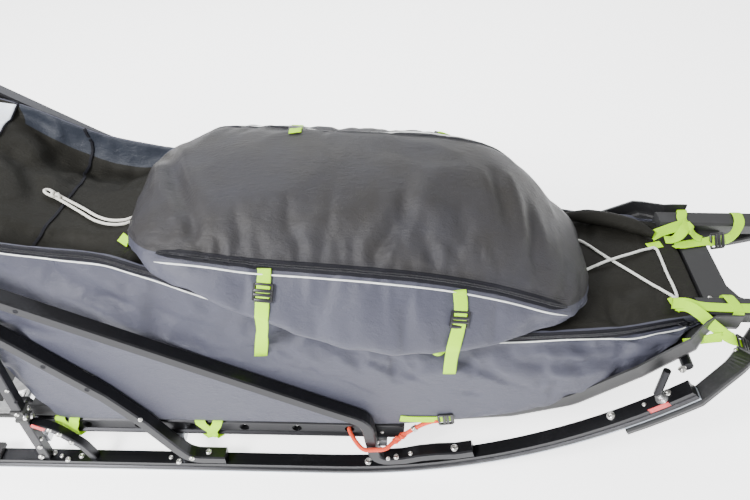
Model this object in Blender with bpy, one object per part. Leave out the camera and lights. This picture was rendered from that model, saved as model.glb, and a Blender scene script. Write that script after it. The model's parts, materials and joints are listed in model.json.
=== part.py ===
# Dog sled: a touring sled with bent aluminium stays, a plastic toboggan bed and a zipped load bag.
# Lengths are in metres. +X is forward, +Y is the sled's left, +Z is up, and the soles stand on Z = 0.
# Stations along the sled are measured forward from the foot bend of the long stay.
import math

import bmesh
import bpy
from mathutils import Matrix, Vector

# Clearances
SEAT = 0.0003           # between pieces that rest on each other
PIN_CLEAR = 0.0008      # round a pin that turns in its hole

# Main sizes of the sled
WIDTH = 0.540           # over both runners
BACK = -1.460           # station of the runners' rear ends

# Runners
RUNNER_W = 0.030
RUNNER_H = 0.028
SOLE_W = 0.026
SOLE_H = 0.008
BEND_START = -0.100     # station where the runner leaves the snow
BEND_R = 1.000          # radius of the sole's bend
TIP_ANGLE = 47.0        # degrees of bend at the tip
GROOVE = 0.003          # depth of the side grooves
BEND_STEPS = 20
RUNNER_Y = (WIDTH - RUNNER_W) / 2
DECK_H = SOLE_H + RUNNER_H
TIP_X = BEND_START + BEND_R * math.sin(math.radians(TIP_ANGLE))
TIP_Z = BEND_R * (1 - math.cos(math.radians(TIP_ANGLE)))
BOW_REACH = 0.3846      # from the runners' tips to the bow's front
FRONT = TIP_X + BOW_REACH
CENTRE = (BACK + FRONT) / 2

# Driver's footboards
PAD_W = 0.046
PAD_H = 0.011
PAD_FRONT = -0.860
PAD_REAR = -1.390
PAD_RIBS = 12
RIB_H = 0.004

# Stays and handlebar
STAY_W = 0.030
STAY_H = 0.025
STAY_BEND = 0.055
BAR_R = 0.0125
GRIP_R = 0.0170
GRIP_IN = 0.105         # from each stay to the grip's end
BAR_RISE = 0.075        # from the stays' ends to the bar's corners
BAR_CORNER = 0.080      # across each corner
BAR_LIFT = 0.030        # the grip over the corners

# Rear stanchion with its rubber joint
POST = 0.022
POST_X = -0.757
JOINT_Z = 0.186
JOINT_H = 0.040
POST_LEAN = 0.012

# Bed
RAIL_W = 0.018
RAIL_H = 0.050
RAIL_Z = 0.100
RAIL_REAR = -0.775
RAIL_FRONT = 0.055
RAIL_GAP = 0.008        # from the rail to the stays' inner faces
HOLE_R = 0.0110
HOLE_PITCH = 0.117
FLANGE_R = 0.006
SHEET = 0.005
TRAY_SIDE = 0.045
CROSS_W = 0.032
CROSS_H = 0.024
FLOOR_FRONT = 0.060     # station where the bed starts to rise
LIP_RISE = 0.092        # the bed's front lip over the runners' tips
LIP_Z = TIP_Z + LIP_RISE

# Brush bow
BOW_W = 0.045
BOW_H = 0.032
BOW_IN = 0.111          # half the gap between the bow's arms
BOW_BACK = 0.006        # the arms' rear ends behind the runners' tips
BAND_W = 0.040
BAND_T = 0.015
PLATE_GAP = 0.024       # the plate's rear edge ahead of the runners' tips
PLATE_DEPTH = 0.060
PLATE_GUSSET = 0.050    # the gussets' reach along the arms
PLATE_T = 0.012

# Brake and drag mat
AXLE_X = -0.812
BRAKE_Z = 0.122
MAT_Z = 0.066
AXLE_R = 0.006
LUG_T = 0.008
LUG_IN = 0.083          # from each runner's middle to its lug's
LUG_Y = RUNNER_Y - LUG_IN
BRAKE_ARM_Y = LUG_Y + 0.018
BRAKE_ARM_W = 0.014
BRAKE_ARM_H = 0.018
BRAKE_REACH = 0.420
BRAKE_RISE = 0.060      # the foot bar's height over the axle when the brake is up
CLAW_Y = LUG_Y - 0.047
CLAW_LEN = 0.100
CLAW_W = 0.026
CLAW_T = 0.012
CLAW = [(0.0, 1.0, 0.0), (0.55, 0.9, 0.0), (0.85, 0.55, 0.006), (1.0, 0.15, 0.014)]  # down, width, lean
MAT_REACH = 0.350
MAT_HALF = LUG_Y - 0.022
MAT_ARM_Y = MAT_HALF - 0.070
MAT_FRONT = 0.070       # from the axle back to the mat's front edge
MAT_T = 0.009
MAT_LUG = 0.016
MAT_FLOOR = 0.004       # the mat's lugs clear the snow line by this much on the flat

COLOURS = {
    "black_alu": ((0.018, 0.018, 0.020), 0.38, 0.6),
    "alu": ((0.55, 0.57, 0.60), 0.35, 0.9),
    "steel": ((0.62, 0.62, 0.63), 0.28, 1.0),
    "sole_plastic": ((0.72, 0.74, 0.72), 0.45, 0.0),
    "black_plastic": ((0.020, 0.020, 0.021), 0.45, 0.0),
    "rubber": ((0.022, 0.022, 0.022), 0.75, 0.0),
    "bag_fabric": ((0.085, 0.090, 0.105), 0.80, 0.0),
    "top_fabric": ((0.070, 0.070, 0.064), 0.82, 0.0),
    "rope": ((0.80, 0.10, 0.03), 0.65, 0.0),
    "cord": ((0.82, 0.80, 0.74), 0.75, 0.0),
}


def material(slot):
    found = bpy.data.materials.get(slot)
    if found:
        return found
    colour, rough, metal = COLOURS[slot]
    made = bpy.data.materials.new(slot)
    made.use_nodes = True
    shader = made.node_tree.nodes["Principled BSDF"]
    shader.inputs["Base Color"].default_value = (*colour, 1.0)
    shader.inputs["Roughness"].default_value = rough
    shader.inputs["Metallic"].default_value = metal
    return made


def at(x, y, z):
    """A point given by its station, seen from the middle of the sled's length."""
    return Vector((x - CENTRE, y, z))


def put_origin(made, point):
    """Move an object's origin to a point without moving its mesh."""
    made.data.transform(Matrix.Translation(-point))
    made.location = point


def add(name, bm, slot, smooth=None):
    bmesh.ops.remove_doubles(bm, verts=bm.verts, dist=1e-6)
    bmesh.ops.recalc_face_normals(bm, faces=bm.faces)
    if bm.calc_volume(signed=True) < 0:
        bmesh.ops.reverse_faces(bm, faces=bm.faces)
    mesh = bpy.data.meshes.new(name)
    bm.to_mesh(mesh)
    bm.free()
    mesh.materials.append(material(slot))
    made = bpy.data.objects.new(name, mesh)
    bpy.context.scene.collection.objects.link(made)
    if smooth is not None:
        mesh.shade_smooth()
        mesh.set_sharp_from_angle(angle=math.radians(smooth))
    return made


def loft(bm, rings):
    """Skin rings of equal count and close both ends."""
    rows = [[bm.verts.new(p) for p in ring] for ring in rings]
    count = len(rows[0])
    for one, two in zip(rows, rows[1:]):
        for i in range(count):
            j = (i + 1) % count
            bm.faces.new((one[i], one[j], two[j], two[i]))
    bm.faces.new(rows[0])
    bm.faces.new(rows[-1])


def sweep(bm, section, path, side=None, widths=None):
    """Carry a section of (across, up) points along a path, mitred at each corner.

    side gives the across direction; without it, across stays level.
    """
    path = [Vector(p) for p in path]
    rings = []
    for i, point in enumerate(path):
        ahead = path[min(i + 1, len(path) - 1)] - path[min(i, len(path) - 2)]
        behind = path[max(i, 1)] - path[max(i - 1, 0)]
        ahead.normalize()
        behind.normalize()
        along = (ahead + behind).normalized()
        stretch = 1.0 / max(along.dot(ahead), 0.5)
        across = Vector(side) if side else Vector((0, 0, 1)).cross(along)
        across = (across - along * across.dot(along)).normalized()
        up = along.cross(across)
        bend = ahead - behind
        flat = abs(bend.dot(across)) > abs(bend.dot(up))
        sx, su = (stretch, 1.0) if flat else (1.0, stretch)
        wide = widths[i] if widths else 1.0
        rings.append([point + across * (a * sx * wide) + up * (u * su) for a, u in section])
    loft(bm, rings)


def box_section(width, height, edge=0.0):
    w = width / 2
    h = height / 2
    if edge == 0.0:
        return [(-w, -h), (w, -h), (w, h), (-w, h)]
    e = edge
    return [(-w + e, -h), (w - e, -h), (w, -h + e), (w, h - e),
            (w - e, h), (-w + e, h), (-w, h - e), (-w, -h + e)]


def ring_section(radius, sides=12):
    return [(radius * math.cos(2 * math.pi * k / sides), radius * math.sin(2 * math.pi * k / sides))
            for k in range(sides)]


def rounded(points, radius, steps=5):
    """Replace each inner corner of a path by an arc."""
    points = [Vector(p) for p in points]
    out = [points[0]]
    for before, corner, after in zip(points, points[1:], points[2:]):
        one = (before - corner).normalized()
        two = (after - corner).normalized()
        half = one.angle(two) / 2
        if half > math.pi / 2 - 0.01:
            out.append(corner)
            continue
        room = min((before - corner).length, (after - corner).length)
        reach = min(radius / math.tan(half), 0.48 * room)
        r = reach * math.tan(half)
        centre = corner + (one + two).normalized() * (r / math.sin(half))
        start = corner + one * reach - centre
        end = corner + two * reach - centre
        turn = start.angle(end)
        for k in range(steps + 1):
            t = k / steps
            arm = start * math.sin((1 - t) * turn) + end * math.sin(t * turn)
            out.append(centre + arm / math.sin(turn))
    out.append(points[-1])
    return out


def tube(bm, path, radius, sides=12, side=None):
    sweep(bm, ring_section(radius, sides), path, side)


def block(bm, low, high):
    base = [(low[1], low[2]), (high[1], low[2]), (high[1], high[2]), (low[1], high[2])]
    loft(bm, [[Vector((x, y, z)) for y, z in base] for x in (low[0], high[0])])


def cut_off(bm, point, outward):
    """Trim a closed body by a plane and close the cut."""
    geom = bm.verts[:] + bm.edges[:] + bm.faces[:]
    cut = bmesh.ops.bisect_plane(bm, geom=geom, plane_co=point, plane_no=outward, clear_outer=True)
    edges = [e for e in cut["geom_cut"] if isinstance(e, bmesh.types.BMEdge)]
    bmesh.ops.contextual_create(bm, geom=edges)


def boolean(target, cutter, operation):
    """Join or cut with another object, which is left as a hidden guide's mesh and removed."""
    step = target.modifiers.new("cut", "BOOLEAN")
    step.operation = operation
    step.solver = "EXACT"
    step.object = cutter
    depsgraph = bpy.context.evaluated_depsgraph_get()
    result = bpy.data.meshes.new_from_object(target.evaluated_get(depsgraph))
    target.modifiers.clear()
    target.data = result
    bpy.data.objects.remove(cutter)


def line(height, start, stop=TIP_ANGLE, y=0.0, steps=BEND_STEPS):
    """Points along a runner at a height over its sole; start is a station, stop a bend angle."""
    radius = BEND_R - height
    points = [at(start, y, height)] if start < BEND_START else []
    first = 0.0 if start < BEND_START else math.degrees(math.asin((start - BEND_START) / radius))
    for k in range(steps + 1):
        turn = math.radians(first + (stop - first) * k / steps)
        points.append(at(BEND_START + radius * math.sin(turn), y, BEND_R - radius * math.cos(turn)))
    return points


def runner_pair(s, tag):
    y = s * RUNNER_Y
    w = RUNNER_W / 2
    h = RUNNER_H / 2
    g = w - GROOVE
    section = [(-w, -h), (w, -h), (w, -0.007), (g, -0.005), (g, 0.004), (w, 0.006), (w, h),
               (-w, h), (-w, 0.006), (-g, 0.004), (-g, -0.005), (-w, -0.007)]
    bm = bmesh.new()
    sweep(bm, section, line(SOLE_H + RUNNER_H / 2, BACK, y=y), side=(0, 1, 0))
    add("runner_" + tag, bm, "black_alu", 30)
    bm = bmesh.new()
    sweep(bm, box_section(SOLE_W, SOLE_H - SEAT), line((SOLE_H - SEAT) / 2, BACK, y=y), side=(0, 1, 0))
    add("sole_" + tag, bm, "sole_plastic", 30)


def footpad(s, tag):
    """A ribbed rubber board on the runner for the driver's foot."""
    bottom = DECK_H + SEAT
    top = bottom + PAD_H
    profile = [(PAD_REAR, bottom), (PAD_FRONT, bottom), (PAD_FRONT, top)]
    pitch = (PAD_FRONT - PAD_REAR - 0.02) / PAD_RIBS
    for k in range(PAD_RIBS):
        x = PAD_FRONT - 0.012 - k * pitch
        profile += [(x, top), (x - 0.004, top + RIB_H), (x - 0.018, top + RIB_H), (x - 0.022, top)]
    profile.append((PAD_REAR, top))
    bm = bmesh.new()
    y = s * RUNNER_Y
    loft(bm, [[at(x, y - PAD_W / 2, z) for x, z in profile], [at(x, y + PAD_W / 2, z) for x, z in profile]])
    add("footpad_" + tag, bm, "rubber")


def on_bend(k, height, y):
    """The point over the k-th corner of the runner's bend, and the upward direction there."""
    turn = math.radians(TIP_ANGLE * k / BEND_STEPS)
    radius = BEND_R - height
    up = Vector((-math.sin(turn), 0, math.cos(turn)))
    return at(BEND_START + radius * math.sin(turn), y, BEND_R - radius * math.cos(turn)), up


# Stations and heights of the stays' bends, from the foot up
STAY_A = [(-0.028, 0.205), (-0.115, 0.252), (-0.670, 0.562), (-0.965, 0.742), (-1.120, 0.858)]
STAY_B = [(-0.452, 0.095), (-0.500, 0.190), (-0.560, 0.285), (-1.000, 0.815)]


# The foot of the long stay: bend corners of the runner under it, and the lift over the runner
FOOT_ARCH = [(8, 0.0), (7, 0.0), (6, 0.007), (5, 0.007), (4, 0.0)]


def long_stay(s, tag):
    """The long stay: its foot arches over the bent runner, and it rises back to the handlebar."""
    y = s * RUNNER_Y
    toe = [on_bend(k, DECK_H + SEAT + STAY_H / 2 + lift, y)[0] for k, lift in FOOT_ARCH]
    heel = on_bend(2.4, DECK_H + SEAT + STAY_H / 2, y)[0]
    path = toe + rounded([toe[-1], heel] + [at(x, y, z) for x, z in STAY_A], STAY_BEND)[1:]
    bm = bmesh.new()
    sweep(bm, box_section(STAY_W, STAY_H, 0.003), path, side=(0, 1, 0))
    add("long_stay_" + tag, bm, "black_alu", 30)


def under_long_stay(x):
    """Height of the long stay's lower face over a station behind its bend."""
    (x1, z1), (x2, z2), (x3, z3) = STAY_A[1:4]
    a, b = ((x1, z1), (x2, z2)) if x > x2 else ((x2, z2), (x3, z3))
    slope = (b[1] - a[1]) / (b[0] - a[0])
    return a[1] + (x - a[0]) * slope - STAY_H / 2 * math.hypot(1, slope), slope


def short_stay(s, tag):
    """The short stay: it props the long stay from a foot nearer the driver."""
    y = s * RUNNER_Y
    toe_x, heel_x = -0.345, -0.425
    z = DECK_H + SEAT + STAY_H / 2
    path = rounded([at(toe_x, y, z), at(heel_x, y, z)] + [at(a, y, b) for a, b in STAY_B], STAY_BEND)
    bm = bmesh.new()
    sweep(bm, box_section(STAY_W, STAY_H, 0.003), path, side=(0, 1, 0))
    x = -0.930
    z, slope = under_long_stay(x)
    up = Vector((-slope, 0, 1)).normalized()
    cut_off(bm, at(x, y, z) - up * SEAT, up)
    add("short_stay_" + tag, bm, "black_alu", 30)


def under_short_stay(x):
    (x1, z1), (x2, z2) = STAY_B[2:4]
    slope = (z2 - z1) / (x2 - x1)
    return z1 + (x - x1) * slope - STAY_H / 2 * math.hypot(1, slope), slope


# The curved brace: reach ahead of the foot post, and height
BRACE_PATH = [(0.0, JOINT_Z - 0.018), (0.038, JOINT_Z - 0.030), (0.085, 0.085), (0.098, DECK_H + SEAT)]


def stanchion(s, tag):
    """Foot post, rubber joint, upper post and curved brace of one side."""
    y = s * RUNNER_Y
    bm = bmesh.new()
    tube_path = [at(POST_X, y, DECK_H + SEAT), at(POST_X, y, JOINT_Z)]
    sweep(bm, box_section(POST, POST, 0.002), tube_path, side=(0, 1, 0))
    add("foot_post_" + tag, bm, "black_alu", 30)

    bm = bmesh.new()
    low = JOINT_Z + SEAT
    high = JOINT_Z + JOINT_H - SEAT
    waist = 0.8
    rings = []
    for z, k in ((low, 1.0), (low + 0.008, 1.0), (low + 0.012, waist), (high - 0.012, waist),
                 (high - 0.008, 1.0), (high, 1.0)):
        half = POST / 2 * k + 0.002
        corners = ((-half, -half), (half, -half), (half, half), (-half, half))
        rings.append([at(POST_X + a, y + b, z) for a, b in corners])
    loft(bm, rings)
    add("rubber_joint_" + tag, bm, "rubber")

    bm = bmesh.new()
    top = JOINT_Z + JOINT_H
    sweep(bm, box_section(POST, POST, 0.002), [at(POST_X, y, top - 0.01), at(POST_X + POST_LEAN, y, 0.60)],
          side=(0, 1, 0))
    cut_off(bm, at(POST_X, y, top), Vector((0, 0, -1)))
    x = POST_X + POST_LEAN
    z, slope = under_short_stay(x)
    up = Vector((-slope, 0, 1)).normalized()
    cut_off(bm, at(x, y, z) - up * SEAT, up)
    add("upper_post_" + tag, bm, "black_alu", 30)

    bm = bmesh.new()
    front = POST_X + POST / 2 + SEAT
    path = rounded([at(front + x, y, z) for x, z in BRACE_PATH], 0.08)
    sweep(bm, box_section(0.020, 0.016, 0.002), path, side=(0, 1, 0))
    cut_off(bm, at(front, y, 0), Vector((-1, 0, 0)))
    cut_off(bm, at(front, y, DECK_H + SEAT), Vector((0, 0, -1)))
    add("rear_brace_" + tag, bm, "black_alu", 30)


def handlebar():
    """A round bar that carries both long stays over into one grip."""
    y = RUNNER_Y
    x1, z1 = STAY_A[-1]
    x0, z0 = STAY_A[-2]
    along = Vector((x1 - x0, 0, z1 - z0)).normalized()
    start = at(x1, y, z1) + along * SEAT
    bend = start + along * BAR_RISE
    points = [start, bend + Vector((0, -0.1 * BAR_RISE, 0)),
              bend + Vector((-0.25 * BAR_CORNER, -BAR_CORNER, BAR_LIFT))]
    mirror = [Vector((p.x, -p.y, p.z)) for p in reversed(points)]
    bm = bmesh.new()
    tube(bm, rounded(points + mirror, 0.07), BAR_R)
    cut_off(bm, at(x1, 0, z1) + along * SEAT, -along)
    add("handlebar", bm, "black_alu", 40)
    height = points[-1].z
    x = points[-1].x
    bm = bmesh.new()
    rings = []
    half = RUNNER_Y - GRIP_IN
    for yy, r in ((-half, GRIP_R), (half, GRIP_R), (half, BAR_R + SEAT), (-half, BAR_R + SEAT)):
        rings.append([Vector((x + a, yy, height + b)) for a, b in ring_section(r, 16)])
    rows = [[bm.verts.new(p) for p in ring] for ring in rings]
    for one, two in zip(rows, rows[1:] + rows[:1]):
        for i in range(16):
            j = (i + 1) % 16
            bm.faces.new((one[i], one[j], two[j], two[i]))
    add("grip", bm, "rubber", 40)


RAIL_OUT = RUNNER_Y - RUNNER_W / 2 - RAIL_GAP
RAIL_IN = RAIL_OUT - RAIL_W
TRAY_HALF = RAIL_OUT
BED_Z = RAIL_Z + RAIL_H + SEAT
# The rising nose of the bed: shares of its length to the runners' tips, and of its height to the lip
NOSE = [(0.0, 0.0), (0.392, 0.118), (0.613, 0.299), (0.805, 0.673), (1.015, 1.0), (1.120, 1.0)]
TRAY_PATH = [(RAIL_REAR, BED_Z)] + [(FLOOR_FRONT + a * (TIP_X - FLOOR_FRONT), BED_Z + b * (LIP_Z - BED_Z))
                                    for a, b in NOSE]
LIP_SCALE = 0.74        # the sheet's width at the lip, as a share
LIP_TAPER = 0.050       # length over which it narrows
LIP_START = TIP_X - 0.031
NOSE_BEND = 0.100       # radius of the nose's bends


def bed_rail(s, tag):
    """A side rail with round holes and a round top edge."""
    y = s * (RAIL_OUT + RAIL_IN) / 2
    top = RAIL_Z + RAIL_H
    w = RAIL_W / 2
    section = [(-w, RAIL_Z), (w, RAIL_Z), (w, RAIL_Z + 0.004), (w * 0.45, RAIL_Z + 0.008),
               (w * 0.45, top - 2 * FLANGE_R), (w, top - 1.4 * FLANGE_R), (w, top - 0.6 * FLANGE_R),
               (w * 0.5, top), (-w, top)]
    bm = bmesh.new()
    loft(bm, [[at(x, y + s * a, z) for a, z in section] for x in (RAIL_REAR, RAIL_FRONT)])
    rail = add("bed_rail_" + tag, bm, "black_alu", 30)
    first = RAIL_FRONT - 0.121
    bm = bmesh.new()
    count = int((first - RAIL_REAR - 0.03) / HOLE_PITCH) + 1
    for k in range(count):
        x = first - k * HOLE_PITCH
        ring = ring_section(HOLE_R, 16)
        loft(bm, [[at(x + a, y + e * RAIL_W, RAIL_Z + 0.022 + b) for a, b in ring] for e in (-1, 1)])
    boolean(rail, add("holes", bm, "black_alu"), "DIFFERENCE")


def tray():
    """The toboggan bed: a thin plastic sheet with turned-up sides that curves up to the bow."""
    w = TRAY_HALF
    t = SHEET
    r = 0.014
    outer = [(-w, TRAY_SIDE), (-w, r), (-w + 0.3 * r, 0.3 * r), (-w + r, 0)]
    inner = [(-w + r, t), (-w + 0.3 * r + 0.7 * t, 0.3 * r + 0.7 * t), (-w + t, r), (-w + t, TRAY_SIDE)]
    section = outer + [(-a, b) for a, b in reversed(outer)] + [(-a, b) for a, b in reversed(inner)] + inner
    path = rounded([at(x, 0, z) for x, z in TRAY_PATH], NOSE_BEND, 4)
    tapers = [min(max((p.x + CENTRE - LIP_START) / LIP_TAPER, 0.0), 1.0) for p in path]
    widths = [1 - t * (1 - LIP_SCALE) for t in tapers]
    bm = bmesh.new()
    sweep(bm, section, path, side=(0, 1, 0), widths=widths)
    add("bed_tray", bm, "black_plastic", 30)


def cross_members():
    """Bars between the two sides that carry the bed, each ending at a stay or post."""
    inner = RUNNER_Y - STAY_W / 2 - SEAT
    top = RAIL_Z - SEAT
    post_in = RUNNER_Y - POST / 2 - SEAT
    # name, station, half length
    table = [("rear", POST_X, post_in),
             ("middle", STAY_B[0][0], inner),
             ("front", STAY_A[0][0] + STAY_W, inner)]
    for name, x, half in table:
        bm = bmesh.new()
        block(bm, at(x - CROSS_W / 2, -half, top - CROSS_H), at(x + CROSS_W / 2, half, top))
        add("cross_bar_" + name, bm, "alu")


def nose_bar():
    """The round bar under the rising nose of the bed, with its tie rods to the runners."""
    (x1, z1), (x2, z2) = TRAY_PATH[4:6]
    slope = math.atan2(z2 - z1, x2 - x1)
    r = 0.011
    t = 0.62
    x = x1 + (x2 - x1) * t + (r + SEAT) * math.sin(slope)
    z = z1 + (z2 - z1) * t - (r + SEAT) * math.cos(slope)
    half = TRAY_HALF - 0.004
    bm = bmesh.new()
    tube(bm, [at(x, -half, z), at(x, half, z)], r, 14)
    add("nose_bar", bm, "black_alu", 40)
    return x, z


# Where the tie posts meet the bed's sides, from the runners' tips and the lip
POST_TOP_BACK = 0.0754
POST_TOP_DROP = 0.038
POST_TOP_OUT = 0.008


# The rod end on the runner: height, and width as a share
ROD_END = [(0.0, 1.0), (0.0025, 1.0), (0.0025, 0.72), (0.0125, 0.72), (0.0125, 0.45), (0.0175, 0.45)]


def tie_rod(s, tag):
    """A post on the bed's side and a steel rod end bolted to the runner's top."""
    k = BEND_STEPS - 1.5
    middle = BEND_R - SOLE_H - RUNNER_H / 2
    flat = middle * math.cos(math.radians(TIP_ANGLE / BEND_STEPS / 2)) - RUNNER_H / 2
    foot, up = on_bend(k, BEND_R - flat + SEAT, s * RUNNER_Y)
    bm = bmesh.new()
    ring = ring_section(0.0135, 16)
    across = Vector((0, 1, 0))
    along = across.cross(up)
    loft(bm, [[foot + up * h + across * (a * k) + along * (b * k) for a, b in ring] for h, k in ROD_END])
    add("rod_end_" + tag, bm, "steel", 30)
    inner = s * (TRAY_HALF + SEAT)
    top = at(TIP_X - POST_TOP_BACK, inner + s * POST_TOP_OUT, LIP_Z - POST_TOP_DROP)
    bottom = foot + up * 0.010 + Vector((-0.004, -s * 0.0045, 0.001))
    bm = bmesh.new()
    tube(bm, [top, bottom], 0.0078, 12)
    cut_off(bm, Vector((0, inner, 0)), Vector((0, -s, 0)))
    cut_off(bm, foot + up * (0.0175 + SEAT), -up)
    add("tie_post_" + tag, bm, "black_alu", 40)


BOW_Z = LIP_Z + SHEET + SEAT + BOW_H / 2
BOW_Y = BOW_IN + BOW_W / 2


def brush_bow():
    """A broad plastic hoop in front, level at the top of the bed's nose."""
    straight = FRONT - BOW_Y - BOW_W / 2
    turn = [at(straight + BOW_Y * math.sin(math.pi * k / 16), -BOW_Y * math.cos(math.pi * k / 16), BOW_Z)
            for k in range(17)]
    rear = TIP_X - BOW_BACK
    path = [at(rear, -BOW_Y, BOW_Z)] + turn + [at(rear, BOW_Y, BOW_Z)]
    bm = bmesh.new()
    sweep(bm, box_section(BOW_W, BOW_H, 0.005), path)
    add("brush_bow", bm, "black_plastic", 30)
    bm = bmesh.new()
    half = BOW_IN - SEAT
    x0 = TIP_X + PLATE_GAP
    x1 = x0 + PLATE_DEPTH
    edge = [(x0, half), (x1 + PLATE_GUSSET, half), (x1 + 0.3 * PLATE_GUSSET, half - 0.018),
            (x1, half - 0.050)]
    outline = [(x, -y) for x, y in edge] + list(reversed(edge))
    low = LIP_Z + SHEET + SEAT
    loft(bm, [[at(x, y, z) for x, y in outline] for z in (low, low + PLATE_T)])
    add("bow_plate", bm, "black_plastic")


# The bend corners under which the bands lie, and their way on to the bow: ahead of the tips,
# share of the way out from the bow's arm to the runner, and drop under the bed's lip
BAND_STEPS = (16, 17, 18, 19, 19.8)
BAND_PATH = [(0.0686, 0.73, 0.038), (0.1486, 0.0, 0.030), (0.2186, 0.0, 0.008)]


def bow_band(s, tag):
    """The band that runs from under a runner's tip up and in to the bow."""
    y = s * RUNNER_Y
    under = [on_bend(k, -BAND_T / 2 - SEAT, y)[0] for k in BAND_STEPS]
    onward = [at(TIP_X + x, s * (BOW_Y + (RUNNER_Y - BOW_Y) * out), LIP_Z - drop)
              for x, out, drop in BAND_PATH]
    path = under + rounded([under[-1]] + onward, 0.05)[1:]
    bm = bmesh.new()
    sweep(bm, box_section(BAND_W, BAND_T, 0.003), path, side=(0, 1, 0))
    cut_off(bm, at(0, 0, BOW_Z - BOW_H / 2 - SEAT), Vector((0, 0, 1)))
    add("bow_band_" + tag, bm, "black_plastic", 30)


def soft_loft(name, rows, slot):
    bm = bmesh.new()
    loft(bm, rows)
    bmesh.ops.triangulate(bm, faces=bm.faces, quad_method="FIXED")
    add(name, bm, slot, 60)


def bed_height(x):
    """Height of the bed sheet's upper face over a station."""
    for (x1, z1), (x2, z2) in zip(TRAY_PATH, TRAY_PATH[1:]):
        if x <= x2:
            slope = (z2 - z1) / (x2 - x1)
            return z1 + (x - x1) * slope + SHEET * math.hypot(1, slope)
    return LIP_Z + SHEET


def nose(share):
    """The station at a share of the way from the bed's flat floor to the runners' tips."""
    return FLOOR_FRONT + share * (TIP_X - FLOOR_FRONT)


# Sections of the load bag: station at the bed and at the hems, how far in from the bed's side are the
# right and the left hem, the hems' and the cover middle's heights over the bed's lip, the depth of the
# cover's edge under its hem, how far in the belly is, and the lift of the floor over the bending sheet
BAG = [
    # x_bed, x_hem, in_right, z_right, in_left, z_left, z_middle, foot, in_belly, lift
    (-0.700, -0.888, 0.042, 0.276, 0.018, 0.292, 0.255, 0.020, 0.0010, 0.000),
    (-0.670, -0.780, 0.056, 0.228, 0.010, 0.252, 0.190, 0.045, -0.0030, 0.000),
    (-0.590, -0.640, 0.056, 0.202, 0.009, 0.184, 0.130, 0.055, -0.0040, 0.000),
    (-0.480, -0.520, 0.054, 0.191, 0.010, 0.154, 0.136, 0.040, -0.0040, 0.000),
    (-0.400, -0.440, 0.048, 0.166, 0.016, 0.142, 0.140, 0.012, -0.0040, 0.000),
    (-0.200, -0.220, 0.026, 0.086, 0.020, 0.090, 0.086, 0.000, -0.0040, 0.000),
    (0.030, 0.030, 0.018, 0.022, 0.020, 0.022, 0.022, 0.000, -0.0040, 0.000),
    (nose(0.245), nose(0.245), 0.024, 0.020, 0.024, 0.020, 0.020, 0.000, -0.0030, 0.003),
    (nose(0.490), nose(0.490), 0.032, 0.020, 0.038, 0.020, 0.020, 0.000, 0.0020, 0.004),
    (nose(0.700), nose(0.726), 0.052, 0.016, 0.060, 0.016, 0.018, 0.002, 0.0140, 0.006),
    (nose(0.850), nose(0.910), 0.076, 0.013, 0.078, 0.013, 0.017, 0.002, 0.0340, 0.006),
    (nose(0.905), nose(0.965), 0.088, 0.013, 0.094, 0.013, 0.016, 0.001, 0.0760, 0.006),
]
BAG_TUCK = 0.0065       # from the bed's side in to the bag where it stands in the tray


def load_bag():
    rings = []
    for x_bed, x_hem, in_right, z_right, in_left, z_left, z_middle, foot, in_belly, lift in BAG:
        low = bed_height(x_bed) + SEAT + lift
        z_middle += LIP_Z
        belly = TRAY_HALF - in_belly
        tuck = min(TRAY_HALF - BAG_TUCK, belly)
        sides = []
        for inset, z_hem in ((in_right, z_right + LIP_Z), (in_left, z_left + LIP_Z)):
            y_hem = TRAY_HALF - inset
            tall = z_hem - low
            over = low + min(TRAY_SIDE + SEAT, 0.5 * tall)
            dip = z_hem - foot - z_middle
            sides.append([(tuck - 0.2 * TRAY_SIDE, low), (tuck, low + 0.3 * (over - low)), (tuck, over),
                          (belly, over + 0.15 * (z_hem - over)), (belly, low + 0.58 * tall),
                          (y_hem + 0.45 * (belly - y_hem), low + 0.82 * tall), (y_hem, z_hem),
                          (y_hem - 0.10 * (y_hem - 0.02), z_hem - foot - 0.05 * dip),
                          (y_hem * 0.45, z_middle + 0.30 * dip)])
        ring = [(-y, z) for y, z in sides[0]] + [(0.0, z_middle)] + list(reversed(sides[1]))
        top = max(z for y, z in ring)
        rings.append([at(x_bed + (x_hem - x_bed) * (z - low) / (top - low), y, z) for y, z in ring])
    soft_loft("load_bag", rings, "bag_fabric")


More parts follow.
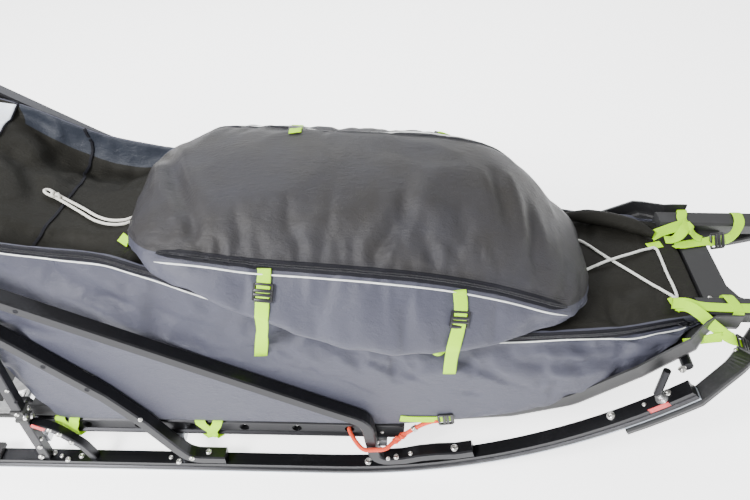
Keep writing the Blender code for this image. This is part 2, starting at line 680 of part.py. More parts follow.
# Sections of the top bag: station, then the right side's base, bulge and zip as a distance in from the
# bed's side and a height over the lip, the crown's height, and the left side's zip, bulge and base
TOP = [
    # x, base_r, low_r, bulge_r, mid_r, zip_r, top_r, crown, zip_l, top_l, bulge_l, mid_l, base_l, low_l
    (-0.490, 0.162, 0.160, 0.152, 0.166, 0.157, 0.174, 0.178, 0.152, 0.174, 0.147, 0.166, 0.157, 0.160),
    (-0.440, 0.082, 0.172, 0.064, 0.184, 0.074, 0.198, 0.212, 0.062, 0.192, 0.050, 0.178, 0.067, 0.166),
    (-0.330, 0.026, 0.140, 0.004, 0.165, 0.042, 0.202, 0.250, 0.032, 0.215, 0.010, 0.170, 0.034, 0.140),
    (-0.220, 0.012, 0.098, -0.009, 0.130, 0.036, 0.194, 0.266, 0.024, 0.215, 0.000, 0.144, 0.024, 0.108),
    (-0.120, 0.002, 0.062, -0.020, 0.100, 0.034, 0.186, 0.268, 0.018, 0.205, -0.010, 0.130, 0.016, 0.080),
    (0.030, -0.006, 0.030, -0.026, 0.075, 0.036, 0.170, 0.262, 0.016, 0.200, -0.014, 0.115, 0.014, 0.048),
    (nose(0.1225), 0.002, 0.028, -0.018, 0.065, 0.039, 0.152, 0.254, 0.020, 0.190, -0.008, 0.102, 0.018, 0.038),
    (nose(0.280), 0.018, 0.028, 0.000, 0.058, 0.042, 0.128, 0.232, 0.032, 0.165, 0.010, 0.088, 0.030, 0.034),
    (nose(0.4025), 0.044, 0.028, 0.026, 0.052, 0.046, 0.100, 0.182, 0.054, 0.130, 0.038, 0.072, 0.054, 0.030),
    (nose(0.5075), 0.070, 0.026, 0.050, 0.044, 0.054, 0.074, 0.118, 0.084, 0.090, 0.072, 0.054, 0.085, 0.026),
    (nose(0.6125), 0.130, 0.024, 0.110, 0.034, 0.114, 0.044, 0.060, 0.130, 0.050, 0.124, 0.038, 0.134, 0.024),
]
TOP_SET = -0.0021        # settles the whole table onto the load bag's cover
LID_SHOULDER = 0.62     # where the lid's shoulder lies between the middle and a zip, as a share
LID_SWELL = 0.72        # how much of the lid's rise is made between a zip and the shoulder


def top_bag():
    rings = []
    for (x, base_r, low_r, bulge_r, mid_r, zip_r, top_r, crown,
         zip_l, top_l, bulge_l, mid_l, base_l, low_l) in TOP:
        sides = []
        for sign, faces in ((-1, ((base_r, low_r), (bulge_r, mid_r), (zip_r, top_r))),
                            (1, ((base_l, low_l), (bulge_l, mid_l), (zip_l, top_l)))):
            side = [(sign * (TRAY_HALF - inset), z) for inset, z in faces]
            y_zip, z_zip = side[-1]
            sides.append(side + [(y_zip * LID_SHOULDER, z_zip + LID_SWELL * (crown - z_zip))])
        outline = sides[0] + [(0.0, crown)] + list(reversed(sides[1]))
        rings.append([at(x, y, z + LIP_Z + TOP_SET) for y, z in outline])
    soft_loft("top_bag", rings, "top_fabric")


def pivot_lug(s, tag):
    """A plate behind the rear cross bar with the two holes that the brake and the mat turn in."""
    y = s * LUG_Y
    rear = POST_X - CROSS_W / 2 - SEAT
    bm = bmesh.new()
    top = RAIL_Z - SEAT
    outline = [(RAIL_REAR - 0.004, top), (rear, top), (rear, top - CROSS_H)]
    outline += [(AXLE_X + x, MAT_Z + z) for x, z in ((0.014, -0.016), (-0.010, -0.016), (-0.016, -0.008))]
    outline += [(AXLE_X + x, BRAKE_Z + z) for x, z in ((-0.016, 0.008), (-0.008, 0.016), (0.010, 0.016))]
    loft(bm, [[at(x, y + e * LUG_T / 2, z) for x, z in outline] for e in (-1, 1)])
    lug = add("pivot_lug_" + tag, bm, "black_alu")
    bm = bmesh.new()
    for z in (BRAKE_Z, MAT_Z):
        ring = ring_section(AXLE_R + PIN_CLEAR, 20)
        loft(bm, [[at(AXLE_X + a, y + e * LUG_T, z + b) for a, b in ring] for e in (-1, 1)])
    boolean(lug, add("holes", bm, "black_alu"), "DIFFERENCE")


def union(parts, name, slot, smooth=30):
    """Weld overlapping bodies into one."""
    first = add(name, parts[0], slot, smooth)
    for extra in parts[1:]:
        boolean(first, add("weld", extra, slot), "UNION")
    return first


def round_bar(p, q, radius, sides=16):
    bm = bmesh.new()
    level = (Vector(q) - Vector(p)).normalized()
    side = (0, 1, 0) if abs(level.y) < 0.9 else (1, 0, 0)
    tube(bm, [p, q], radius, sides, side)
    return bm


def brake():
    """The claw brake: an axle, two arms and a foot bar with two claws."""
    half = BRAKE_ARM_Y + 0.009
    bar_x = AXLE_X - BRAKE_REACH
    bar_z = BRAKE_Z + BRAKE_RISE
    parts = [round_bar(at(AXLE_X, -half, BRAKE_Z), at(AXLE_X, half, BRAKE_Z), AXLE_R)]
    for s in (-1, 1):
        bm = bmesh.new()
        y = s * BRAKE_ARM_Y
        arm = [at(AXLE_X + 0.012, y, BRAKE_Z), at(bar_x, y, bar_z)]
        sweep(bm, box_section(BRAKE_ARM_W, BRAKE_ARM_H), arm, side=(0, 1, 0))
        parts.append(bm)
    bm = bmesh.new()
    block(bm, at(bar_x - 0.020, -half, bar_z - 0.009), at(bar_x + 0.020, half, bar_z + 0.009))
    parts.append(bm)
    for s in (-1, 1):
        bm = bmesh.new()
        y = s * CLAW_Y
        top = bar_z
        rings = []
        for down, k, lean in CLAW:
            rings.append([at(bar_x + lean + a * CLAW_W / 2 * k, y + b * CLAW_T / 2 * max(k, 0.5),
                             top - down * CLAW_LEN)
                          for a, b in ((-1, -1), (1, -1), (1, 1), (-1, 1))])
        loft(bm, rings)
        parts.append(bm)
    put_origin(union(parts, "brake", "steel"), at(AXLE_X, 0, BRAKE_Z))


def drag_mat():
    """The mat's steel hinge and its cleated rubber sheet, which hangs between the runners."""
    under = MAT_FLOOR + MAT_LUG
    top = under + MAT_T
    front = AXLE_X - MAT_FRONT
    half = LUG_Y + 0.010
    parts = [round_bar(at(AXLE_X, -half, MAT_Z), at(AXLE_X, half, MAT_Z), AXLE_R)]
    plate_low = top + SEAT
    plate_high = plate_low + 0.006
    for s in (-1, 1):
        bm = bmesh.new()
        y = s * MAT_ARM_Y
        sweep(bm, box_section(0.016, 0.012), [at(AXLE_X + 0.006, y, MAT_Z), at(AXLE_X - 0.012, y, MAT_Z),
                                              at(front - 0.018, y, plate_high - 0.004)], side=(0, 1, 0))
        parts.append(bm)
    bm = bmesh.new()
    block(bm, at(front - 0.040, -MAT_HALF + 0.004, plate_low), at(front, MAT_HALF - 0.004, plate_high))
    parts.append(bm)
    hinge = union(parts, "mat_hinge", "steel")
    bm = bmesh.new()
    block(bm, at(front - 0.2, -0.2, plate_low - 0.05), at(front + 0.2, 0.2, plate_low))
    boolean(hinge, add("floor_cut", bm, "steel"), "DIFFERENCE")
    put_origin(hinge, at(AXLE_X, 0, MAT_Z))

    rear = AXLE_X - MAT_REACH
    profile = [(rear, top), (rear, under)]
    pitch = 0.045
    count = int((front - rear - 0.03) / pitch)
    for k in range(count):
        x = rear + 0.014 + k * pitch
        profile += [(x, under), (x + 0.004, under - MAT_LUG), (x + 0.014, under - MAT_LUG), (x + 0.020, under)]
    profile += [(front, under), (front, top)]
    bm = bmesh.new()
    loft(bm, [[at(x, y, z) for x, z in profile] for y in (-MAT_HALF, MAT_HALF)])
    put_origin(add("drag_mat", bm, "rubber"), at(AXLE_X, 0, MAT_Z))


def cord(name, points, origin, radius, slot, count):
    """A tube along a smooth curve through a cord's own points, which are measured from an origin."""
    knots = [at(x, y + origin[1], z + origin[2]) for x, y, z in points]
    knots = [knots[0] * 2 - knots[1]] + knots + [knots[-1] * 2 - knots[-2]]
    fine = []
    for a, b, c, d in zip(knots, knots[1:], knots[2:], knots[3:]):
        for k in range(24):
            t = k / 24
            fine.append(0.5 * ((2 * b) + (c - a) * t + (2 * a - 5 * b + 4 * c - d) * t * t
                               + (3 * b - a - 3 * c + d) * t * t * t))
    fine.append(knots[-2])
    lengths = [0.0]
    for a, b in zip(fine, fine[1:]):
        lengths.append(lengths[-1] + (b - a).length)
    curve = bpy.data.curves.new(name, "CURVE")
    curve.dimensions = "3D"
    curve.bevel_depth = radius
    curve.bevel_resolution = 2
    curve.use_fill_caps = True
    spline = curve.splines.new("POLY")
    spline.points.add(count - 1)
    for k in range(count):
        want = lengths[-1] * k / (count - 1)
        i = max(j for j, v in enumerate(lengths) if v <= want + 1e-9)
        i = min(i, len(fine) - 2)
        t = (want - lengths[i]) / (lengths[i + 1] - lengths[i])
        p = fine[i].lerp(fine[i + 1], t)
        spline.points[k].co = (*p, 1.0)
    made = bpy.data.objects.new(name, curve)
    bpy.context.scene.collection.objects.link(made)
    curve.materials.append(material(slot))
    return made


# The red rope hangs from a rail hole, round the outside of the long stay's foot, to the bed's side.
# Its points are a station, the distance in from the right runner's middle and the height.
ROPE_R = 0.0048
ROPE = [
    (-0.0720, 0.0570, 0.1120), (-0.0685, 0.0415, 0.1171), (-0.0655, 0.0260, 0.1177), (-0.0520, -0.0010, 0.1210),
    (-0.0340, -0.0195, 0.1190), (-0.0100, -0.0203, 0.1190), (0.0140, -0.0198, 0.1240), (0.0310, -0.0070, 0.1290),
    (0.0460, 0.0050, 0.1310), (0.0670, 0.0130, 0.1430), (0.0960, 0.0174, 0.1650), (0.1260, 0.0178, 0.1810),
]
# The doubled white drawcord lies on the sagging cover behind the top bag.
# Its points are a station, the distance from the sled's middle and the height over the bed's lip.
DRAW_R = 0.0030
DRAW = [
    (-0.4975, -0.0120, 0.1416), (-0.5150, -0.0260, 0.1415), (-0.5450, -0.0270, 0.1401), (-0.5780, -0.0130, 0.1376),
    (-0.6180, 0.0160, 0.1344), (-0.6520, 0.0300, 0.1438), (-0.6720, 0.0360, 0.1527), (-0.6900, 0.0420, 0.1607),
    (-0.6965, 0.0360, 0.1636), (-0.6900, 0.0290, 0.1608), (-0.6720, 0.0255, 0.1527), (-0.6550, 0.0200, 0.1452),
    (-0.6210, 0.0040, 0.1351), (-0.5800, -0.0260, 0.1384), (-0.5460, -0.0400, 0.1408), (-0.5160, -0.0400, 0.1422),
    (-0.4975, -0.0280, 0.1425),
]


def build():
    for old in list(bpy.context.scene.objects):
        bpy.data.objects.remove(old)
    for s, tag in ((1, "left"), (-1, "right")):
        runner_pair(s, tag)
        footpad(s, tag)
        long_stay(s, tag)
        short_stay(s, tag)
        stanchion(s, tag)
        bed_rail(s, tag)
        tie_rod(s, tag)
        bow_band(s, tag)
        pivot_lug(s, tag)
    handlebar()
    tray()
    cross_members()
    nose_bar()
    brush_bow()
    load_bag()
    top_bag()
    brake()
    drag_mat()
    cord("rope", ROPE, (0, -RUNNER_Y, 0), ROPE_R, "rope", 24)
    cord("drawcord", DRAW, (0, 0, LIP_Z), DRAW_R, "cord", 60)


build()
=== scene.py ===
"""Looks of a touring dog sled on a pale studio floor: frame finishes, sewn bags, webbing, cords and screws.

Lengths are in metres. +X is forward, +Y is the sled's left, and the sled stands on Z = 0.
"""
import json
import math
from types import SimpleNamespace

import bmesh
import bpy
import numpy as np
from bpy.props import FloatProperty, FloatVectorProperty, IntProperty, PointerProperty
from mathutils import Matrix, Vector, noise
from mathutils.bvhtree import BVHTree


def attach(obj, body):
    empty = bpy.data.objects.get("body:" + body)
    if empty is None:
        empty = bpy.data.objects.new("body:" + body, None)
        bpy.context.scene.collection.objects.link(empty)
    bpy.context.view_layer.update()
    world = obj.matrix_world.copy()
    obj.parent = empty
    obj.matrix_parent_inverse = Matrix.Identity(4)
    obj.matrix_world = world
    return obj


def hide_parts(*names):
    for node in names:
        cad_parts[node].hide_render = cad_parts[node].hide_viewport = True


bl_info = {
    "name": "Dog sled",
    "version": (1, 0, 0),
    "blender": (4, 5, 0),
    "location": "View3D > Sidebar > Dog sled",
    "description": "Finishes the frame of a touring dog sled and sews its bags, straps and cords on it",
    "category": "Object",
}

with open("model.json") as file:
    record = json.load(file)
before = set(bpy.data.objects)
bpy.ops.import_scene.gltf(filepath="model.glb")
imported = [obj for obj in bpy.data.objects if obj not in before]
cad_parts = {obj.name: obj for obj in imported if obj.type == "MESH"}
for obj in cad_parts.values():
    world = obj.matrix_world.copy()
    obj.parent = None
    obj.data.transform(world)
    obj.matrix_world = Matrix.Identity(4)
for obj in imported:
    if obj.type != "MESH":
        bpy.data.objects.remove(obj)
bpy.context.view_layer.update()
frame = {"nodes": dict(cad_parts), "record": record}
NODES = frame["nodes"]

# The part's stations are measured forward from the long stay's foot bend, which lies here in the frame
ORIGIN_X = 0.222
RUNNER_Y = 0.255       # middle of a runner
RUNNER_FACE = 0.27     # outer face of a runner or stay
BED_SIDE = 0.232       # outer face of the bed's turned-up side
SKIRT_OUT = 0.0035     # how far outside it the load bag's skirt hangs
LIP_Z = 0.41           # the bed's front lip


def at(x, y, z):
    """A point given by its station."""
    return Vector((x + ORIGIN_X, y, z))


class SledColours(bpy.types.PropertyGroup):
    webbing: FloatVectorProperty(name="Webbing", description="Fluorescent tape of the straps and loops",
                                 default=(0.4, 0.76, 0.0005), size=3, min=0, max=1, subtype="COLOR")
    side_cloth: FloatVectorProperty(name="Side cloth", description="Coated cloth of the bags' sides",
                                    default=(0.042, 0.044, 0.064), size=3, min=0, max=1, subtype="COLOR")
    top_cloth: FloatVectorProperty(name="Top cloth", description="Coated cloth of the lid and inner cover",
                                   default=(0.022, 0.02, 0.017), size=3, min=0, max=1, subtype="COLOR")
    piping: FloatVectorProperty(name="Piping", description="Reflective piping under the zips",
                                default=(0.82, 0.84, 0.82), size=3, min=0, max=1, subtype="COLOR")
    rope: FloatVectorProperty(name="Rope", description="Braided rope at the stay's foot",
                              default=(0.8, 0.06, 0.018), size=3, min=0, max=1, subtype="COLOR")


class SledSizes(bpy.types.PropertyGroup):
    webbing_width: FloatProperty(name="Webbing width", description="Width of the strap tape",
                                 default=0.025, min=0.01, max=0.06, unit="LENGTH")
    webbing_thickness: FloatProperty(name="Webbing thickness", description="Thickness of the strap tape",
                                     default=0.0018, min=0.0005, max=0.005, unit="LENGTH")
    zip_width: FloatProperty(name="Zip width", description="Width of a zip's coil",
                             default=0.007, min=0.003, max=0.02, unit="LENGTH")
    piping_radius: FloatProperty(name="Piping radius", description="Radius of the reflective piping",
                                 default=0.0017, min=0.0005, max=0.005, unit="LENGTH")
    bolt_radius: FloatProperty(name="Bolt head radius", description="Radius of the button heads",
                               default=0.0065, min=0.002, max=0.02, unit="LENGTH")
    cloth_frames: IntProperty(name="Cloth frames", description="Frames that each bag's cloth settles for",
                              default=20, min=1, max=60)


class Socket:
    """A shader socket that takes part in Python arithmetic; each operation adds a Math node."""

    def __init__(self, made, socket):
        self.made = made
        self.socket = socket

    def _math(self, operation, *values):
        return self.made.node("ShaderNodeMath", {"operation": operation}, *values)

    def __add__(self, other):
        return self._math("ADD", self, other)

    def __sub__(self, other):
        return self._math("SUBTRACT", self, other)

    def __mul__(self, other):
        return self._math("MULTIPLY", self, other)

    def __rsub__(self, other):
        return self._math("SUBTRACT", other, self)

    def __abs__(self):
        return self._math("ABSOLUTE", self)

    def clamped(self):
        return self._math("MINIMUM", self._math("MAXIMUM", self, 0.0), 1.0)

    def sine(self):
        return self._math("SINE", self)


class Finish:
    """A procedural material under construction."""

    def __init__(self, name, **constants):
        self.material = bpy.data.materials.new(name)
        self.material.use_nodes = True
        self.tree = self.material.node_tree
        self.shader = self.tree.nodes["Principled BSDF"]
        for socket, value in constants.items():
            self.shader.inputs[socket.replace("_", " ")].default_value = value

    def node(self, kind, settings=None, *values, output=0, **named):
        """Add one node: settings first, then its sockets in order or by name."""
        made = self.tree.nodes.new(kind)
        for key, value in (settings or {}).items():
            setattr(made, key, value)
        for key, value in [*enumerate(values), *((k.replace("_", " "), v) for k, v in named.items())]:
            if isinstance(value, Socket):
                self.tree.links.new(value.socket, made.inputs[key])
            elif value is not None:
                made.inputs[key].default_value = value
        return Socket(self, made.outputs[output])

    def place(self):
        return self.node("ShaderNodeTexCoord", output="Object")

    def uv(self):
        return self.node("ShaderNodeTexCoord", output="UV")

    def along(self, vector, axis):
        return self.node("ShaderNodeSeparateXYZ", None, vector, output="XYZ".index(axis))

    def noise(self, vector, scale, detail=3.0, rough=0.5):
        return self.node("ShaderNodeTexNoise", None, Vector=vector, Scale=scale, Detail=detail,
                         Roughness=rough)

    def stretched(self, vector, scale):
        return self.node("ShaderNodeVectorMath", {"operation": "MULTIPLY"}, vector, scale)

    def mix(self, factor, one, two):
        """Two colours mixed; the node's colour sockets are its seventh and eighth."""
        colours = [(*c, 1.0) if isinstance(c, tuple) and len(c) == 3 else c for c in (one, two)]
        return self.node("ShaderNodeMix", {"data_type": "RGBA"}, factor, *[None] * 5, *colours, output=2)

    def feed(self, **signals):
        for name, value in signals.items():
            self.tree.links.new(value.socket, self.shader.inputs[name.replace("_", " ")])
        return self

    def bump(self, height, distance, strength=1.0):
        normal = self.node("ShaderNodeBump", None, Height=height, Distance=distance, Strength=strength)
        self.tree.links.new(normal.socket, self.shader.inputs["Normal"])
        return self


def shade(colour, k):
    """A colour made darker or lighter."""
    return tuple(min(c * k, 1.0) for c in colour)


def anodised(name, colour, rough, grain=(6.0, 260.0, 260.0)):
    """Satin anodised aluminium with drawn grain along the bar and rubbed patches."""
    m = Finish(name, Metallic=0.75)
    place = m.place()
    drawn = m.noise(m.stretched(place, grain), 1.0, 2.0)
    patch = m.noise(place, 11.0, 4.0, 0.6)
    fine = m.noise(place, 190.0, 2.0)
    scuff = ((patch - 0.52) * 5.0).clamped() * ((fine - 0.45) * 4.0).clamped()
    m.feed(Base_Color=m.mix(scuff * 0.5 + drawn * 0.3, colour, shade(colour, 2.4)),
           Roughness=drawn * 0.16 + scuff * 0.18 + (rough - 0.08))
    return m.bump(drawn, 0.00012, 0.5).material


def bright_metal(name, colour, rough):
    """Zinc plated or turned metal with fine turning marks and dull spots."""
    m = Finish(name, Metallic=1.0)
    place = m.place()
    fine = m.noise(place, 420.0, 2.0)
    dull = m.noise(place, 60.0, 4.0, 0.6)
    m.feed(Base_Color=m.mix(dull, shade(colour, 0.72), colour), Roughness=fine * 0.14 + dull * 0.16 + rough)
    return m.bump(fine, 0.00006, 0.5).material


def moulded(name, colour, rough, pebble=900.0, depth=0.0001, coat=0.0):
    """Moulded plastic or rubber with a pebbled skin, chalky wear and a faint lighter mottle."""
    m = Finish(name, Coat_Weight=coat)
    place = m.place()
    skin = m.noise(place, pebble, 2.0)
    wear = m.noise(place, 14.0, 5.0, 0.62)
    marks = m.noise(m.stretched(place, (30.0, 220.0, 220.0)), 1.0, 3.0)
    scuff = ((wear - 0.5) * 4.0).clamped() * ((marks - 0.48) * 5.0).clamped()
    m.feed(Base_Color=m.mix(scuff * 0.55 + wear * 0.12, colour, shade(colour, 3.0)),
           Roughness=skin * 0.1 + scuff * 0.14 + rough)
    return m.bump(skin + scuff * 0.6, depth, 0.6).material


def coated_cloth(name, colour, sheen_colour, rough, shine=0.3, thread=0.00085):
    """Coated nylon: a plain weave, soft creases, and patches where the coating has dulled, which also carry a
    painted sheen in a lighter second colour.
    """
    m = Finish(name, Specular_IOR_Level=shine)
    place = m.place()
    x, y, z = (m.along(place, axis) for axis in "XYZ")
    turn = math.pi / thread
    warp = (x * turn).sine() * 0.5 + 0.5
    weft = ((z + y * 0.83) * turn).sine() * 0.5 + 0.5
    weave = warp * weft + (1.0 - warp) * (1.0 - weft)
    dulling_and_sheen = m.noise(place, 7.0, 5.0, 0.62)
    crease = m.noise(m.stretched(place, (26.0, 60.0, 34.0)), 1.0, 6.0, 0.66)
    fold = abs(crease - 0.5) * 6.0
    lint = ((m.noise(place, 620.0, 1.0) - 0.7) * 9.0).clamped()
    # Painted sheen: in the patches the colour is drawn towards the lighter sheen colour
    cloth = m.mix((dulling_and_sheen * 1.5 - 0.25).clamped(), colour, sheen_colour)
    cloth = m.mix(weave * 0.34, cloth, shade(colour, 1.7))
    cloth = m.mix(lint * 0.16, cloth, shade(colour, 5.0))
    m.feed(Base_Color=cloth, Roughness=dulling_and_sheen * 0.16 + weave * 0.05 + (rough - 0.1))
    return m.bump(weave * 0.22 + fold.clamped() * 1.1 + crease * 1.6, 0.0011, 0.55).material


def webbing_tape(name, colour):
    """Fluorescent woven tape: chevron ribs across, a firm selvedge on both edges, slight fading, and a faint
    painted glow.
    """
    # The emission in the tape's own colour is a painted glow that brightens it
    m = Finish(name, Emission_Color=(*colour, 1.0), Emission_Strength=0.08, Specular_IOR_Level=0.2)
    uv = m.uv()
    u = m.along(uv, "X")
    v = m.along(uv, "Y")
    rib = ((v + abs(u - 0.5) * 0.006) * (2 * math.pi / 0.0024)).sine() * 0.5 + 0.5
    cord = (u * (2 * math.pi * 11)).sine() * 0.5 + 0.5
    edge = ((abs(u - 0.5) - 0.44) * 30.0).clamped()
    fade = m.noise(m.place(), 24.0, 4.0)
    body = m.mix(rib * 0.3 + cord * 0.1, colour, shade(colour, 0.66))
    body = m.mix(fade * 0.28, body, shade(colour, 1.15))
    m.feed(Base_Color=m.mix(edge * 0.35, body, shade(colour, 0.7)), Roughness=rib * 0.15 + 0.52)
    return m.bump(rib * (1.0 - edge) + cord * 0.4 + edge, 0.0003, 0.7).material


def braid(name, colour, fleck, strands=9.0, pitch=0.01):
    """Braided cord, with its strands crossing along the cord's own UV."""
    m = Finish(name)
    uv = m.uv()
    round_it = m.along(uv, "X") * (2 * math.pi * strands)
    along = m.along(uv, "Y") * (2 * math.pi / pitch)
    one = (round_it + along).sine()
    two = (round_it - along).sine()
    strand = abs(one) * 0.5 + abs(two) * 0.5
    spot = ((m.noise(m.place(), 380.0, 2.0) - 0.55) * 6.0).clamped()
    m.feed(Base_Color=m.mix(spot * 0.35, m.mix(strand, shade(colour, 0.62), colour), fleck),
           Roughness=strand * -0.12 + 0.78)
    return m.bump(strand, 0.0006, 0.8).material


def reflective(name, colour):
    """Glass-bead reflective tape: pale, finely pebbled, greyed where it was rubbed."""
    m = Finish(name)
    place = m.place()
    bead = m.noise(place, 1500.0, 1.0)
    rub = m.noise(place, 45.0, 4.0)
    m.feed(Base_Color=m.mix((rub * 1.7 - 0.5).clamped(), colour, shade(colour, 0.62)),
           Roughness=bead * 0.2 + 0.36)
    return m.bump(bead, 0.00008, 0.5).material


def silver_film(name, colour):
    """Silvery coated film with a soft grain, for the map pocket."""
    m = Finish(name, Coat_Weight=0.3)
    place = m.place()
    grain = m.noise(place, 130.0, 4.0, 0.7)
    m.feed(Base_Color=m.mix((grain * 2.2 - 0.7).clamped(), (0.7, 0.76, 0.88), colour),
           Roughness=grain * 0.2 + 0.3)
    return m.bump(grain, 0.0005, 0.5).material


MATERIALS = {}


def paint(made, name):
    """A piece or node with its finish."""
    made.data.materials.clear()
    made.data.materials.append(MATERIALS[name])
    return made


def fitted(made, name):
    """A piece with its finish, riding on the sled."""
    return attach(paint(made, name), "sled")


class SLED_OT_finishes(bpy.types.Operator):
    """Give every node of the frame its finish"""
    bl_idname = "sled.finishes"
    bl_label = "Frame finishes"

    def execute(self, context):
        chosen = context.scene.sled_colours
        colours = {key: tuple(getattr(chosen, key)) for key in SledColours.__annotations__}
        for make, name, colour, *values in (
                (anodised, "black_alu", (0.013, 0.013, 0.015), 0.34),
                (anodised, "alu", (0.52, 0.54, 0.58), 0.3),
                (bright_metal, "steel", (0.66, 0.66, 0.66), 0.16),
                (bright_metal, "bolt_zinc", (0.74, 0.73, 0.7), 0.14),
                (moulded, "sole_plastic", (0.34, 0.38, 0.44), 0.36, 300.0),
                (moulded, "black_plastic", (0.014, 0.014, 0.015), 0.4, 700.0, 0.00012),
                (moulded, "buckle", (0.007, 0.007, 0.008), 0.34, 1400.0, 0.00004, 0.05),
                (moulded, "rubber", (0.02, 0.02, 0.02), 0.66, 520.0, 0.00018),
                # Each cloth's second colour is a lighter sheen, painted on in patches
                (coated_cloth, "bag_fabric", colours["side_cloth"], (0.05, 0.05, 0.066), 0.5, 0.34),
                (coated_cloth, "top_fabric", colours["top_cloth"], (0.031, 0.032, 0.042), 0.5, 0.2),
                (coated_cloth, "cover", (0.011, 0.0105, 0.0085), (0.014, 0.0135, 0.012), 0.6, 0.1),
                (coated_cloth, "zip_tape", (0.006, 0.006, 0.008), (0.01, 0.01, 0.014), 0.6, 0.12),
                (coated_cloth, "wall_cloth", (0.015, 0.018, 0.026), (0.022, 0.026, 0.036), 0.5, 0.22),
                (moulded, "zip_coil", (0.016, 0.016, 0.02), 0.3, 1800.0, 0.00004, 0.2),
                (reflective, "piping", colours["piping"]),
                (webbing_tape, "webbing", colours["webbing"]),
                (braid, "rope", colours["rope"], (0.9, 0.3, 0.1)),
                (braid, "cord", (0.8, 0.78, 0.7), (0.92, 0.92, 0.88), 8.0, 0.0064),
                (braid, "bungee", (0.84, 0.85, 0.8), (0.62, 0.66, 0.58), 10.0, 0.0056),
                (moulded, "red_label", (0.5, 0.004, 0.006), 0.32, 1500.0, 0.00003, 0.2),
                (silver_film, "window", (0.86, 0.88, 0.9))):
            MATERIALS[name] = make(name, colour, *values)
        slots = {row["node"]: row["material_slot"] for row in frame["record"]["subparts"]}
        for name, made in NODES.items():
            paint(made, slots[name])
        return {"FINISHED"}


def named(columns, table):
    """The rows of a table, with its columns' names."""
    return [SimpleNamespace(**dict(zip(columns.split(), row))) for row in table]


def turns(count, start=0.0):
    """So many angles round a circle."""
    return [2 * math.pi * (k + start) / count for k in range(count)]


def spline(a, b, c, d, t):
    """Catmull-Rom between b and c."""
    return 0.5 * (2 * b + (c - a) * t + (2 * a - 5 * b + 4 * c - d) * t * t
                  + (3 * b - a - 3 * c + d) * t * t * t)


def smooth_line(points, per=6):
    """A smooth open line through points, with so many pieces between each two."""
    points = [Vector(p) for p in points]
    points = [points[0] * 2 - points[1], *points, points[-1] * 2 - points[-2]]
    out = []
    for a, b, c, d in zip(points, points[1:], points[2:], points[3:]):
        out += [spline(a, b, c, d, k / per) for k in range(per)]
    return out + [points[-2]]


def skin(rings, along, around):
    """Points of a smooth surface through rings of control points, as an array of rows.

    along and around give the pieces between each two rings and between each two points of a ring.
    """
    rings = np.array([[tuple(p) for p in ring] for ring in rings])
    first = 2 * rings[0] - rings[1]
    last = 2 * rings[-1] - rings[-2]
    rows = [first, *rings, last]
    out = []
    for i, steps in enumerate(along):
        out += [spline(*rows[i:i + 4], k / steps) for k in range(steps)]
    out.append(rings[-1])
    rows = np.array(out)
    count = rows.shape[1]
    columns = []
    for j, steps in enumerate(around):
        a, b, c, d = (rows[:, (j + k) % count] for k in (-1, 0, 1, 2))
        columns += [spline(a, b, c, d, k / steps) for k in range(steps)]
    return np.stack(columns, axis=1)


def tube_faces(n, count, closed=False):
    """Faces between n rows of count points each: a tube with two ends, or a ring."""
    faces = [(i * count + j, i * count + (j + 1) % count, (i + 1) % n * count + (j + 1) % count,
              (i + 1) % n * count + j) for i in range(n if closed else n - 1) for j in range(count)]
    return faces if closed else faces + [tuple(range(count)), tuple(range((n - 1) * count, n * count))]


def grid_mesh(name, rows, cap_rings=3):
    """A closed body from rows of points round it, with both ends drawn in to a small cap."""
    count = rows.shape[1]
    front, back = ([end + (end.mean(axis=0) - end) * k / (cap_rings + 1) for k in range(1, cap_rings + 1)]
                   for end in (rows[-1], rows[0]))
    rows = np.concatenate([np.array(back[::-1]), rows, np.array(front)])
    faces = tube_faces(len(rows), count)
    faces[-1] = faces[-1][::-1]
    return new_piece(name, rows.reshape(-1, 3), faces), len(rows), count


def in_scene(name, data):
    """An object in the scene, made of a mesh, a light or a camera."""
    made = bpy.data.objects.new(name, data)
    bpy.context.scene.collection.objects.link(made)
    return made


def plain_mesh(name, verts, faces=(), edges=()):
    """A mesh of points, faces and edges."""
    mesh = bpy.data.meshes.new(name)
    mesh.from_pydata([tuple(v) for v in verts], edges, faces)
    return mesh


def new_piece(name, verts, faces):
    """A smooth closed piece whose faces look outward."""
    mesh = plain_mesh(name, verts, faces)
    bm = bmesh.new()
    bm.from_mesh(mesh)
    bmesh.ops.recalc_face_normals(bm, faces=bm.faces)
    if bm.calc_volume(signed=True) < 0:
        bmesh.ops.reverse_faces(bm, faces=bm.faces)
    bm.to_mesh(mesh)
    bm.free()
    mesh.shade_smooth()
    return in_scene(name, mesh)


def coords(made):
    """A piece's points, as an array."""
    co = np.empty(len(made.data.vertices) * 3, np.float32)
    made.data.vertices.foreach_get("co", co)
    return co.reshape(-1, 3).astype(float)


def set_coords(made, co):
    """Put a piece's points where an array says."""
    made.data.vertices.foreach_set("co", co.astype(np.float32).ravel())
    made.data.update()


def normals(made):
    """The ways out of a piece at its points, as an array."""
    out = np.empty(len(made.data.vertices) * 3, np.float32)
    made.data.vertices.foreach_get("normal", out)
    return out.reshape(-1, 3).astype(float)


COATED_NYLON = {"quality": 6, "mass": 0.12, "tension_stiffness": 18, "compression_stiffness": 12,
                "bending_stiffness": 0.25, "use_pressure": True}


